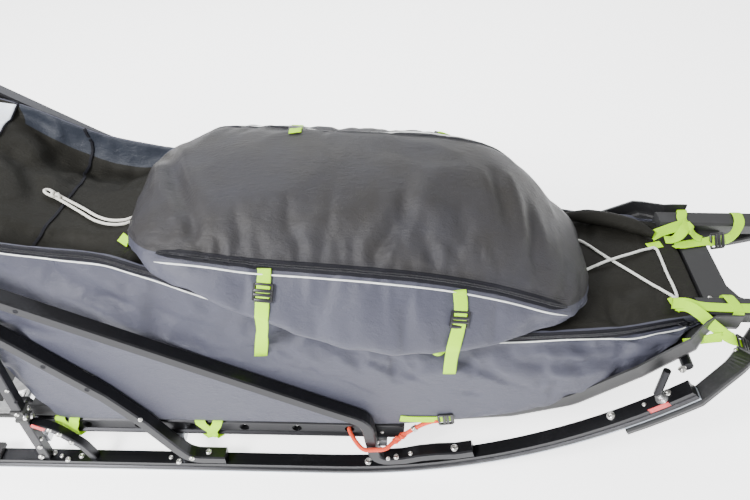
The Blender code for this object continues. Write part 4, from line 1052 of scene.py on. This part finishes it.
def joined(name, parts):
    """Parts of one finish as one piece."""
    bm = bmesh.new()
    for made in parts:
        bm.from_mesh(made.data)
    mesh = parts[0].data.copy()
    mesh.name = name
    bm.to_mesh(mesh)
    bm.free()
    for made in parts:
        bpy.data.objects.remove(made)
    return in_scene(name, mesh)


# Lines that the bags keep for their trim: rows of points and of the ways out, by line
SEAMS = {}
PIPING_WANDER = 0.0012      # how far the piping strays up and down from its line


def keep_lines(made, count_i, count_j, columns, first=-9.0, last=9.0):
    """Keep the lines that run along a finished bag at some columns of its grid, between two stations."""
    place = coords(made).reshape(count_i, count_j, 3)
    away = normals(made).reshape(count_i, count_j, 3)
    for name, j in columns.items():
        j %= count_j
        SEAMS[name] = [(Vector(p), Vector(n)) for p, n in zip(place[3:-3, j], away[3:-3, j])
                       if first < p[0] - ORIGIN_X < last]


def shifted(line, shift, on, lift):
    """A seam's line moved so far towards the ground over the cloth, and lifted off it."""
    points = [p for p, away in line]
    out = []
    for k, (p, away) in enumerate(line):
        down = away.cross(heading(points, k)).normalized()
        down = down if down.z < 0 or abs(down.z) < 0.2 and down.y * p.y > 0 else -down
        out.append(cling(p + down * shift, on, lift))
    return out


def evened(line, times=3):
    """A line with its small kinks eased."""
    points = [p for p, away in line]
    for _ in range(times):
        inner = [(a + b * 2 + c) / 4 for a, b, c in zip(points, points[1:], points[2:])]
        points = [points[0], *inner, points[-1]]
    return [(p, away) for p, (_, away) in zip(points, line)]


class SLED_OT_bag_trim(bpy.types.Operator):
    """Sew the zips with their coils, the reflective piping and the stitch rows on both bags"""
    bl_idname = "sled.bag_trim"
    bl_label = "Zips, piping and stitches"

    def execute(self, context):
        sizes = context.scene.sled_sizes
        tooth = lozenge("tooth", 0.0011, sizes.zip_width * 0.52, 0.0011)
        stitch = lozenge("stitch", 0.003, 0.0007, 0.0006)
        tapes, pipes, teeth, stitches = [], [], [], []
        # seam, the bag it is on, and how far below it lie the tape, the piping and the stitches
        table = (("top_right", "top_bag_body", 0.002, 0.02, (-0.014, -0.01, 0.012)),
                 ("top_left", "top_bag_body", 0.002, 0.018, (-0.014, -0.01, 0.012)),
                 ("bag_right", "bag_body", 0.01, 0.023, (0.001, 0.019)),
                 ("bag_left", "bag_body", 0.01, 0.023, (0.001, 0.019)))
        for seam, bag, tape, piping, rows in table:
            line = evened(SEAMS[seam])
            mid = shifted(line, tape, [bag], 0.0004)
            tapes.append(band("tape", *zip(*mid), 0.019, 0.0008, [bag], taper=True))
            teeth += [shifted(line, tape + side * sizes.zip_width, [bag], 0.0016) for side in (-0.28, 0.28)]
            edge = evened(shifted(line, piping, [bag], 0.0), 9)
            edge = evened([cling(p + UP_WAY * (PIPING_WANDER * noise.noise(p * 34.0)), [bag],
                                 sizes.piping_radius * 0.8) for p, a in edge], 8)
            radii = [sizes.piping_radius * drawn_in(k, len(edge)) for k in range(len(edge))]
            pipes.append(hose("pipe", [p for p, a in edge], radii, 8))
            stitches += [shifted(line, row, [bag], 0.0006) for row in rows]
        fitted(joined("zip_tapes", tapes), "zip_tape")
        fitted(joined("bag_piping", pipes), "piping")
        scatter("zip_coils", teeth, tooth, "zip_coil", 0.0019)
        scatter("bag_stitches", stitches, stitch, "zip_coil", 0.0044)
        return {"FINISHED"}


# Straps: the surfaces they lie on, and points as station, side, height and whether the tape lies down there
BOTH_BAGS = ("top_bag_body", "bag_body")
STRAPS = {
    "strap_rear_right": (BOTH_BAGS, [(-0.2082, -0.2019, 0.5951, 1), (-0.2083, -0.2147, 0.5779, 1),
        (-0.2092, -0.2262, 0.564, 1), (-0.2102, -0.2362, 0.5492, 1), (-0.212, -0.248, 0.529, 1),
        (-0.219, -0.246, 0.47, 0), (-0.233, -0.2335, 0.3834, 1)]),
    "strap_front_right": (BOTH_BAGS, [(0.1398, -0.2019, 0.5475, 1), (0.1424, -0.218, 0.525, 1),
        (0.1417, -0.2302, 0.5034, 1), (0.1391, -0.2413, 0.4828, 1), (0.133, -0.256, 0.453, 1),
        (0.1345, -0.2455, 0.4, 0), (0.136, -0.231, 0.3482, 1)]),
    "strap_front_tail": (("bag_body",), [(0.118, -0.224, 0.408, 0), (0.108, -0.227, 0.402, 0),
        (0.1, -0.221, 0.404, 1)]),
    "strap_rear_left": (BOTH_BAGS, [(-0.1756, 0.084, 0.675, 1), (-0.1775, 0.115, 0.669, 1),
        (-0.18, 0.145, 0.66, 1), (-0.1835, 0.17, 0.65, 0), (-0.186, 0.2, 0.628, 0), (-0.183, 0.226, 0.59, 1),
        (-0.18, 0.24, 0.545, 1), (-0.18, 0.244, 0.48, 0), (-0.19, 0.235, 0.385, 1)]),
    "strap_front_left": (BOTH_BAGS, [(0.126, 0.17, 0.63, 1), (0.125, 0.195, 0.605, 1),
        (0.124, 0.215, 0.585, 1), (0.122, 0.232, 0.55, 1), (0.12, 0.24, 0.51, 1), (0.118, 0.243, 0.45, 0),
        (0.12, 0.233, 0.35, 1)]),
    "tab_rear": (("bag_body",), [(-0.514, -0.076, 0.552, 1), (-0.496, -0.088, 0.552, 1),
        (-0.48, -0.098, 0.56, 0), (-0.468, -0.105, 0.568, 0)]),
    "tab_hook_left": (("bag_body",), [(0.584, 0.054, 0.43, 1), (0.6, 0.058, 0.43, 1),
        (0.616, 0.062, 0.43, 1)]),
    "tab_hook_right": (("bag_body",), [(0.588, -0.1, 0.43, 1), (0.595, -0.113, 0.43, 1),
        (0.602, -0.128, 0.43, 1)]),
}
# The straps with a ladder lock, and where along them it sits, as a share
LOCKS = {"strap_rear_right": 0.36, "strap_front_right": 0.34,
         "strap_rear_left": 0.22, "strap_front_left": 0.34}
# Tapes tied round the bow: the nodes they pass over, and their points
BOW = ("brush_bow", "bow_plate", "bow_band_right", "bow_band_left")
LASHINGS = {
    "lash_right_along": [(0.584, -0.12, 0.433), (0.6, -0.134, 0.449), (0.628, -0.142, 0.45),
        (0.665, -0.1445, 0.4495), (0.705, -0.145, 0.4495), (0.745, -0.145, 0.4495), (0.785, -0.145, 0.4495),
        (0.8, -0.15, 0.449), (0.808, -0.159, 0.44), (0.81, -0.159, 0.42)],
    "lash_right_down": [(0.59, -0.126, 0.434), (0.604, -0.144, 0.45), (0.622, -0.162, 0.448),
        (0.642, -0.178, 0.437), (0.67, -0.189, 0.42), (0.702, -0.195, 0.403), (0.73, -0.2, 0.388),
        (0.75, -0.206, 0.376), (0.766, -0.209, 0.36)],
    "lash_right_low": [(0.6, -0.184, 0.39), (0.62, -0.189, 0.401), (0.642, -0.191, 0.412),
        (0.664, -0.19, 0.416)],
    "lash_left_along": [(0.64, 0.0545, 0.4286), (0.656, 0.0582, 0.429), (0.6924, 0.0665, 0.429),
        (0.7348, 0.0745, 0.4292), (0.7672, 0.081, 0.431), (0.786, 0.094, 0.436), (0.796, 0.107, 0.444),
        (0.803, 0.122, 0.449), (0.806, 0.145, 0.449), (0.807, 0.158, 0.44), (0.807, 0.1585, 0.42)],
    "lash_left_back": [(0.6, 0.084, 0.432), (0.6203, 0.0898, 0.441), (0.6433, 0.0945, 0.448),
        (0.662, 0.101, 0.45), (0.684, 0.112, 0.45)],
    "lash_left_low": [(0.628, 0.074, 0.431), (0.6468, 0.0735, 0.433), (0.66, 0.08, 0.442),
        (0.674, 0.096, 0.4495), (0.684, 0.11, 0.4508)],
    "lash_left_fore": [(0.676, 0.108, 0.4508), (0.684, 0.0935, 0.446), (0.696, 0.085, 0.434),
        (0.71, 0.077, 0.43)],
}
LASH_LOCKS = {"lash_right_along": 0.6, "lash_right_down": 0.66, "lash_left_along": 0.33}
# Loops of tape round bars: station, the bar's middle in side and height, its half sizes, and the lean
LOOPS = [(0.68, 0.1335, 0.4313, 0.0232, 0.0168, 0.006), (0.694, -0.1335, 0.4313, 0.0232, 0.0168, -0.004),
         (-0.69, -0.223, 0.125, 0.0122, 0.0278, 0.01), (-0.674, -0.223, 0.125, 0.013, 0.0286, -0.008),
         (-0.381, -0.223, 0.125, 0.0122, 0.0278, 0.012), (-0.362, -0.223, 0.125, 0.013, 0.0286, -0.01),
         (-0.69, 0.223, 0.125, 0.0122, 0.0278, 0.01), (-0.381, 0.223, 0.125, 0.0122, 0.0278, 0.012)]
# Widths of the narrower tapes as shares of a strap's
TAB_SHARE, LASH_SHARE, LOOP_SHARE = 0.8, 0.9, 0.86
# The front tape along the bed's side
BED_TAPE = [(0.044, -0.2392, 0.188), (0.07, -0.2396, 0.1862), (0.1, -0.2398, 0.1868),
            (0.129, -0.2392, 0.1876), (0.158, -0.2385, 0.1925)]


def lock_at(points, aways, share):
    """Where a ladder lock sits on a tape: its place, the tape's way there and the way out."""
    k = round(share * (len(points) - 1))
    return points[k], heading(points, k), aways[k]


class SLED_OT_straps(bpy.types.Operator):
    """Fit the fluorescent straps with their ladder locks, the tabs and the tapes tied round the frame"""
    bl_idname = "sled.straps"
    bl_label = "Straps and buckles"

    def execute(self, context):
        sizes = context.scene.sled_sizes
        width, thick = sizes.webbing_width, sizes.webbing_thickness
        locks, tapes = [], []
        for name, (on, table) in STRAPS.items():
            points, aways, free = lay(table, on)
            wide = width * TAB_SHARE if name.startswith("tab") else width
            lift = 0.0024 if name.startswith("strap") else 0.0005
            tapes.append(band(name, points, aways, wide, thick, on, lift, free=free))
            if name in LOCKS:
                locks.append(lock_at(points, aways, LOCKS[name]))
        for name, table in LASHINGS.items():
            points = smooth_line([at(*p) for p in table], 5)
            aways = []
            for p in points:
                place, away = cling(p, BOW)
                gap = p - place
                if gap.length > 0.001 and gap.dot(away) > 0:
                    away = gap.normalized()
                aways.append(away * 0.7 + UP_WAY * 0.3)
            aways = [(a + b + c).normalized()
                     for a, b, c in zip(aways[:1] + aways, aways, aways[1:] + aways[-1:])]
            tapes.append(band(name, points, aways, width * LASH_SHARE, thick))
            if name in LASH_LOCKS:
                locks.append(lock_at(points, aways, LASH_LOCKS[name]))
        for x, y, z, wide, high, lean in LOOPS:
            points, aways = [], []
            for a in turns(32):
                c, d = math.cos(a), math.sin(a)
                r = (abs(c) ** 8 + abs(d) ** 8) ** (-1 / 8)
                points.append(at(x + lean * math.sin(2 * a + 0.6),
                                 y + (wide + thick) * c * r, z + (high + thick) * d * r))
                aways.append(Vector((0, c * r ** 7 * abs(c) ** 6, d * r ** 7 * abs(d) ** 6)).normalized())
            tapes.append(band("loop", points, aways, width * LOOP_SHARE, thick, closed=True))
        for side in (-1, 1):
            points = smooth_line([at(x, side * -y, z) for x, y, z in BED_TAPE], 5)
            aways = [Vector((0, side, 0))] * len(points)
            tapes.append(band("bed_tape", points, aways, width * TAB_SHARE, thick))
            locks.append(lock_at(points, aways, 0.86))
        fitted(joined("webbing", tapes), "webbing")
        buckles("strap_buckles", locks)
        ring = [at(-0.47 + 0.011 * math.cos(a), -0.086 + 0.009 * math.sin(a), 0.566 + 0.003 * math.sin(a + 1))
                for a in turns(28)]
        fitted(hose("tab_ring", ring, 0.0016, 8, closed=True), "buckle")
        return {"FINISHED"}


# The elastic cord crosses the deck in front of the top bag, hooked behind two tapes
ELASTIC = [(0.395, 0.058, 0.4345), (0.43, 0.07, 0.4345), (0.48, 0.018, 0.4345), (0.545, -0.05, 0.4345),
           (0.59, -0.096, 0.4345), (0.598, -0.1, 0.4345), (0.603, -0.094, 0.4345), (0.6, -0.03, 0.4345),
           (0.6005, 0.034, 0.4345), (0.598, 0.045, 0.4345), (0.59, 0.0465, 0.4345), (0.545, 0.026, 0.437),
           (0.48, -0.004, 0.4385), (0.425, -0.031, 0.4345), (0.395, -0.045, 0.4345)]
ELASTIC_R = 0.003
# The cords' own points, as the solids have them
ROPE = [(-0.072, 0.057, 0.112), (-0.0685, 0.0415, 0.1171), (-0.0655, 0.026, 0.1177), (-0.052, -0.001, 0.121),
        (-0.034, -0.0195, 0.119), (-0.01, -0.0203, 0.119), (0.014, -0.0198, 0.124), (0.031, -0.007, 0.129),
        (0.046, 0.005, 0.131), (0.067, 0.013, 0.143), (0.096, 0.0174, 0.165), (0.126, 0.0178, 0.181)]
ROPE_R = 0.0048
# Its knots: where each lies on the smooth line, its size, the radius of the cord in it, and its turn
ROPE_KNOTS = [("rope_knot_a", 60, 0.0068, 0.0044, 0.4), ("rope_knot_b", 66, 0.0066, 0.0043, 1.5),
              ("rope_knot_c", -2, 0.005, 0.0036, 0.9)]
CLAMP_AT = 75
DRAW = [(-0.4975, -0.012, 0.1416), (-0.515, -0.026, 0.1415), (-0.545, -0.027, 0.1401),
        (-0.578, -0.013, 0.1376), (-0.618, 0.016, 0.1344), (-0.652, 0.03, 0.1438), (-0.672, 0.036, 0.1527),
        (-0.69, 0.042, 0.1607), (-0.6965, 0.036, 0.1636), (-0.69, 0.029, 0.1608), (-0.672, 0.0255, 0.1527),
        (-0.655, 0.02, 0.1452), (-0.621, 0.004, 0.1351), (-0.58, -0.026, 0.1384), (-0.546, -0.04, 0.1408),
        (-0.516, -0.04, 0.1422), (-0.4975, -0.028, 0.1425)]
DRAW_R = 0.003


def knot(name, centre, ahead, size, cord_radius, turn=0.0):
    """An overhand knot drawn tight, lying across the cord it ties."""
    side = ahead.orthogonal().normalized()
    up = ahead.cross(side)
    c, d = math.cos(turn), math.sin(turn)
    points = []
    for a in turns(60):
        x, y = math.sin(a) + 1.6 * math.sin(2 * a), math.cos(a) - 1.6 * math.cos(2 * a)
        z = -math.sin(3 * a)
        offset = ahead * (x * c - y * d) + side * (z * 1.1) + up * (x * d + y * c)
        points.append(centre + offset * (size / 2.6))
    return hose(name, points, cord_radius, 8, closed=True)


def whipping(name, centre, ahead, radius, wire, wraps):
    """Wire wound round a cord."""
    side = ahead.orthogonal().normalized()
    up = ahead.cross(side)
    points = []
    for k in range(14 * wraps + 1):
        a = 2 * math.pi * k / 14
        along = wire * 2.1 * (a / (2 * math.pi) - wraps / 2)
        points.append(centre + (side * math.cos(a) + up * math.sin(a)) * radius + ahead * along)
    return hose(name, points, wire, 8)


class SLED_OT_cords(bpy.types.Operator):
    """Run the braided rope and the doubled drawcord, with their knots and clamp"""
    bl_idname = "sled.cords"
    bl_label = "Cords"

    def execute(self, context):
        line = smooth_line([at(x, y - RUNNER_Y, z) for x, y, z in ROPE], 8)
        rope = paint(hose("rope_cord", line, ROPE_R, 12), "rope")
        knots = [knot(name, line[k], heading(line, k % len(line)), *look) for name, k, *look in ROPE_KNOTS]
        tie = paint(joined("rope_knots", knots), "rope")
        clamp = whipping("rope_clamp", line[CLAMP_AT], heading(line, CLAMP_AT), 0.006, 0.0015, 3)
        paint(clamp, "bolt_zinc")
        for made in (tie, clamp):
            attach(made, "sled")
        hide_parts("rope")
        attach(rope, "sled")

        line = smooth_line([at(x, y, z + LIP_Z) for x, y, z in DRAW], 8)
        draw = paint(hose("draw_cord", line, DRAW_R, 10), "cord")
        middle = (line[49] + line[79]) / 2
        tie = knot("draw_knot", middle + Vector((0, 0, 0.0015)), (line[54] - line[46]).normalized(),
                   0.0088, 0.0032, 0.5)
        paint(tie, "cord")
        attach(tie, "sled")
        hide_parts("drawcord")
        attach(draw, "sled")
        return {"FINISHED"}


class SLED_OT_elastic(bpy.types.Operator):
    """Cross the elastic over the deck in front of the top bag"""
    bl_idname = "sled.elastic"
    bl_label = "Elastic"

    def execute(self, context):
        points = []
        for p in smooth_line([at(*p) for p in ELASTIC], 8):
            place, away = cling(p, ["bag_body"], ELASTIC_R)
            points.append(place if p.z < 0.435 else place + Vector((0, 0, (p.z - 0.4345) * 1.5)))
        fitted(hose("elastic_cord", points, ELASTIC_R, 10), "bungee")
        return {"FINISHED"}


# Fasteners on the right side, each with a twin on the left, by the node that they sit in: station, side,
# height, the way it is pushed out, and the size of its head in button head radii
OUT, UP, AHEAD, SLOPE = (0, -1, 0), (0, 0, 1), (1, 0, 0), (-0.66, 0, 0.75)
BUTTONS = {
    "runner_right": [(-0.024, -0.2585, 0.039, UP, 1.35), (0.4795, -0.252, 0.23, SLOPE, 1.45),
        (0.5345, -0.2527, 0.2756, SLOPE, 0.7), (-0.4741, -0.256, 0.036, UP, 0.85),
        (-0.4535, -0.2655, 0.036, UP, 1.05), (-0.6783, -0.2567, 0.036, UP, 1.05),
        (-0.7426, -0.2505, 0.036, UP, 0.95), (-0.7238, -0.2577, 0.036, UP, 0.8),
        (-0.7066, -0.266, 0.036, UP, 1.0)],
    "long_stay_right": [(0.0202, -0.267, 0.069, UP, 0.75), (0.0385, -0.264, 0.071, UP, 1.0),
        (0.07, -0.26, 0.08, UP, 0.85), (0.166, -0.256, 0.106, UP, 1.35), (-0.004, -0.256, 0.119, AHEAD, 0.7)],
    "bed_rail_right": [(0.006, -0.232, 0.112, OUT, 0.7), (-0.755, -0.232, 0.124, OUT, 0.9)],
    "short_stay_right": [(-0.419, -0.27, 0.06, OUT, 1.0), (-0.384, -0.255, 0.061, UP, 1.1),
        (-0.5, -0.27, 0.21, OUT, 0.75), (-0.885, -0.27, 0.676, OUT, 0.9)],
    "rubber_joint_right": [(-0.7462, -0.2644, 0.2044, AHEAD, 1.15), (-0.744, -0.25, 0.1872, AHEAD, 1.1),
        (-0.7462, -0.245, 0.2085, AHEAD, 0.8), (-0.757, -0.268, 0.218, OUT, 0.8)],
    "foot_post_right": [(-0.746, -0.259, 0.1106, AHEAD, 0.75), (-0.7535, -0.266, 0.0877, OUT, 0.9),
        (-0.764, -0.266, 0.0465, OUT, 1.05)],
    "upper_post_right": [(-0.748, -0.266, 0.3, OUT, 0.7)],
    "rear_brace_right": [(-0.711, -0.264, 0.1567, OUT, 0.9), (-0.695, -0.264, 0.14, OUT, 1.05),
        (-0.678, -0.264, 0.108, OUT, 1.0)],
    "pivot_lug_right": [(-0.79, -0.176, 0.108, OUT, 0.7)],
    "bow_plate": [(0.668, -0.098, 0.427, UP, 0.8), (0.7, -0.098, 0.427, UP, 0.8)],
    "brush_bow": [(0.84, -0.134, 0.447, UP, 1.0)],
    "bow_band_right": [(0.7, -0.19, 0.385, UP, 0.8)],
}
# The ones sunk in the dark, as holes and black screws
SUNK = {
    "short_stay_right": [(-0.6443, -0.27, 0.3869, OUT, 0.8), (-0.5811, -0.27, 0.3142, OUT, 0.8)],
    "upper_post_right": [(-0.7451, -0.2645, 0.2594, OUT, 0.6)],
    "long_stay_right": [(-0.64, -0.27, 0.545, OUT, 0.7), (-1.11, -0.27, 0.85, OUT, 0.8)],
    "footpad_right": [(-0.875, -0.266, 0.051, UP, 0.7), (-0.875, -0.244, 0.051, UP, 0.7),
        (-1.045, -0.255, 0.051, UP, 0.7), (-1.215, -0.255, 0.051, UP, 0.7), (-1.375, -0.266, 0.051, UP, 0.7),
        (-1.375, -0.244, 0.051, UP, 0.7)],
}
NUTS = {
    "runner_right": [(0.5731, -0.248, 0.31, SLOPE, 0.95)],
    "nose_bar": [(0.56, -0.229, 0.345, OUT, 1.1)],
}


class SLED_OT_fasteners(bpy.types.Operator):
    """Screw the button heads and nuts into the frame"""
    bl_idname = "sled.fasteners"
    bl_label = "Fasteners"

    def execute(self, context):
        radius = context.scene.sled_sizes.bolt_radius
        for name, table, profile, finish, slot in (
                ("button_heads", BUTTONS, BUTTON_HEAD, "bolt_zinc", "steel"),
                ("sunk_screws", SUNK, SUNK_SCREW, "zip_tape", "black_plastic"),
                ("nuts", NUTS, HEX_NUT, "bolt_zinc", "steel")):
            shape = turned(name + "_shape", profile, 24)
            spots = []
            for side in (1, -1):
                for node, rows in table.items():
                    node = node if side > 0 else node.replace("right", "left")
                    for x, y, z, away, size in rows:
                        way = (away[0], away[1] * side, away[2])
                        spots.append((*seat(node, at(x, y * side, z), way), size * radius))
            scatter(name, [spots], shape, finish)
        return {"FINISHED"}


# The seam across the cover behind the top bag, and the padded roll that lies before it
COVER_SEAM = [(-0.672, -0.15, 0.56, 1), (-0.665, -0.09, 0.56, 1), (-0.659, -0.017, 0.555, 1),
              (-0.654, 0.045, 0.553, 1), (-0.649, 0.122, 0.557, 1), (-0.652, 0.17, 0.58, 1),
              (-0.665, 0.205, 0.61, 1)]
ROLL = [(0.41, 0.134, 0.445), (0.45, 0.134, 0.445), (0.49, 0.13, 0.4445), (0.535, 0.118, 0.443),
        (0.575, 0.099, 0.441), (0.602, 0.081, 0.439)]
ROLL_R = 0.017
POCKET_PIECES = 8       # pieces along and across the silver pocket
# Plain red patches: node, station, side and height of the middle, the way out, the size, and the turn
LABELS = [("runner_right", 0.556, -0.27, 0.2905, OUT, (0.043, 0.016), 0.73),
          ("rear_brace_right", -0.733, -0.2646, 0.164, OUT, (0.03, 0.013), -0.62)]


class SLED_OT_details(bpy.types.Operator):
    """Add the plain red patches, the silver pocket, the padded roll and the cover's seam"""
    bl_idname = "sled.details"
    bl_label = "Patches, pocket and roll"

    def execute(self, context):
        parts = []
        for side in (1, -1):
            for node, x, y, z, away, (long, tall), turn in LABELS:
                middle = at(x, y * side, z)
                ahead = Vector((math.cos(turn), 0, math.sin(turn)))
                points = [middle + ahead * (long * (k / 6 - 0.5)) for k in range(7)]
                parts.append(band("label", points, [Vector((0, away[1] * side, 0))] * 7, tall, 0.0006))
        fitted(joined("red_patches", parts), "red_label")

        on = ("bag_body",)
        points, aways, free = lay(COVER_SEAM, on, 16)
        made = band("cover_seam", points, aways, 0.006, 0.0016, on, 0.0009)
        fitted(made, "zip_tape")

        n = POCKET_PIECES
        rows = []
        for k in range(n + 1):
            t = k / n
            top = at(-0.86 + 0.07 * t, 0.232 - 0.01 * t, 0.684 - 0.014 * t)
            low = at(-0.86 + 0.046 * t, 0.098 + 0.04 * t, 0.636 - 0.002 * t)
            rows.append([cling(top.lerp(low, j / n), on, 0.0014)[0] for j in range(n + 1)])
        corners = [i * (n + 1) + j for i in range(n) for j in range(n)]
        faces = [(k, k + 1, k + n + 2, k + n + 1) for k in corners]
        mesh = plain_mesh("silver_pocket", [p for row in rows for p in row], faces)
        mesh.shade_smooth()
        made = in_scene("silver_pocket", mesh)
        made.modifiers.new("thick", "SOLIDIFY").thickness = 0.0016
        fitted(made, "window")
        rim = rows[0] + [row[-1] for row in rows[1:]] + rows[-1][-2::-1] + [row[0] for row in rows[-2:0:-1]]
        fitted(hose("pocket_binding", rim, 0.0022, 8, closed=True), "zip_tape")

        roll = smooth_line([at(*p) for p in ROLL], 6)
        count = len(roll)
        radii = [ROLL_R * min(1.0, 0.45 + 2.2 * min(k, count - 1 - k) / count) for k in range(count)]
        made = hose("padded_roll", roll, radii, 14)
        fitted(made, "cover")
        return {"FINISHED"}


# The camera stands at the sled's right side: its place, its turns and its focal length in photo pixels
CAMERA_PLACE = (0.0, -1.036, 1.42)
CAMERA_PITCH = 0.75
CAMERA_YAW = -0.015
CAMERA_ROLL = 0.006
FOCAL_PIXELS = 665.8
PHOTO_WIDTH = 750
SENSOR = 36.0


def area_light(name, place, aim, size, power, colour=(1.0, 1.0, 1.0)):
    """A rectangular light at a place, turned to an aim."""
    data = bpy.data.lights.new(name, "AREA")
    data.shape = "RECTANGLE"
    data.size, data.size_y = size
    data.energy = power
    data.color = colour
    made = in_scene(name, data)
    made.location = place
    made.rotation_euler = (Vector(aim) - Vector(place)).to_track_quat("-Z", "Y").to_euler()


class SLED_OT_stage(bpy.types.Operator):
    """Lay the pale floor, hang the soft lights and set up the camera"""
    bl_idname = "sled.stage"
    bl_label = "Stage, lights and camera"

    def execute(self, context):
        data = bpy.data.cameras.new("camera")
        data.sensor_width = SENSOR
        data.lens = FOCAL_PIXELS / PHOTO_WIDTH * SENSOR
        data.clip_start = 0.02
        camera = in_scene("camera", data)
        p, w = CAMERA_PITCH, CAMERA_YAW
        ahead = Vector((math.sin(w) * math.cos(p), math.cos(w) * math.cos(p), -math.sin(p)))
        right = Vector((math.cos(w), -math.sin(w), 0.0))
        up = right.cross(ahead)
        rolled = right * math.cos(CAMERA_ROLL) + up * math.sin(CAMERA_ROLL)
        up = up * math.cos(CAMERA_ROLL) - right * math.sin(CAMERA_ROLL)
        faced = Matrix((rolled, up, -ahead)).transposed().to_4x4()
        camera.matrix_world = Matrix.Translation(at(*CAMERA_PLACE)) @ faced
        context.scene.camera = camera

        bm = bmesh.new()
        bmesh.ops.create_grid(bm, x_segments=2, y_segments=2, size=40.0)
        bmesh.ops.translate(bm, verts=bm.verts, vec=(0.0, 0.0, -0.0006))
        mesh = bpy.data.meshes.new("floor")
        bm.to_mesh(mesh)
        bm.free()
        floor = in_scene("floor", mesh)
        m = Finish("floor", Roughness=0.9, Emission_Color=(1.0, 1.0, 1.0, 1.0), Emission_Strength=2.4)
        m.feed(Base_Color=m.mix(m.noise(m.place(), 1.2, 2.0), (0.9, 0.9, 0.9), (0.93, 0.93, 0.93)))
        mesh.materials.append(m.material)

        world = bpy.data.worlds.new("studio")
        context.scene.world = world
        world.use_nodes = True
        backdrop = world.node_tree.nodes["Background"]
        backdrop.inputs["Color"].default_value = (1.0, 1.0, 1.0, 1.0)
        backdrop.inputs["Strength"].default_value = 1.0
        middle = (0.1, 0.0, 0.3)
        area_light("key", (-1.5, -1.6, 2.2), middle, (0.7, 0.7), 190.0)
        area_light("back", (-0.2, 2.2, 2.2), middle, (2.6, 1.0), 70.0, (0.94, 0.97, 1.0))
        area_light("side", (3.0, -0.4, 1.5), middle, (1.4, 1.4), 25.0)
        return {"FINISHED"}


class SLED_PT_panel(bpy.types.Panel):
    """Lists the steps that dress the sled, and its sizes and colours"""
    bl_idname = "SLED_PT_panel"
    bl_label = "Dog sled"
    bl_space_type = "VIEW_3D"
    bl_region_type = "UI"
    bl_category = "Dog sled"

    def draw(self, context):
        for step in STEPS:
            self.layout.operator(step.bl_idname)
        for group in (context.scene.sled_sizes, context.scene.sled_colours):
            for name in group.__annotations__:
                self.layout.prop(group, name)


STEPS = (SLED_OT_stage, SLED_OT_finishes, SLED_OT_cords, SLED_OT_load_bag, SLED_OT_top_bag, SLED_OT_bag_trim,
         SLED_OT_straps, SLED_OT_elastic, SLED_OT_fasteners, SLED_OT_details)
CLASSES = (SledColours, SledSizes, *STEPS, SLED_PT_panel)


def register():
    for made in CLASSES:
        bpy.utils.register_class(made)
    bpy.types.Scene.sled_colours = PointerProperty(type=SledColours)
    bpy.types.Scene.sled_sizes = PointerProperty(type=SledSizes)


def unregister():
    del bpy.types.Scene.sled_colours
    del bpy.types.Scene.sled_sizes
    for made in reversed(CLASSES):
        bpy.utils.unregister_class(made)


def main():
    register()
    for step in STEPS:
        category, name = step.bl_idname.split(".")
        getattr(getattr(bpy.ops, category), name)()


if __name__ == "__main__":
    main()
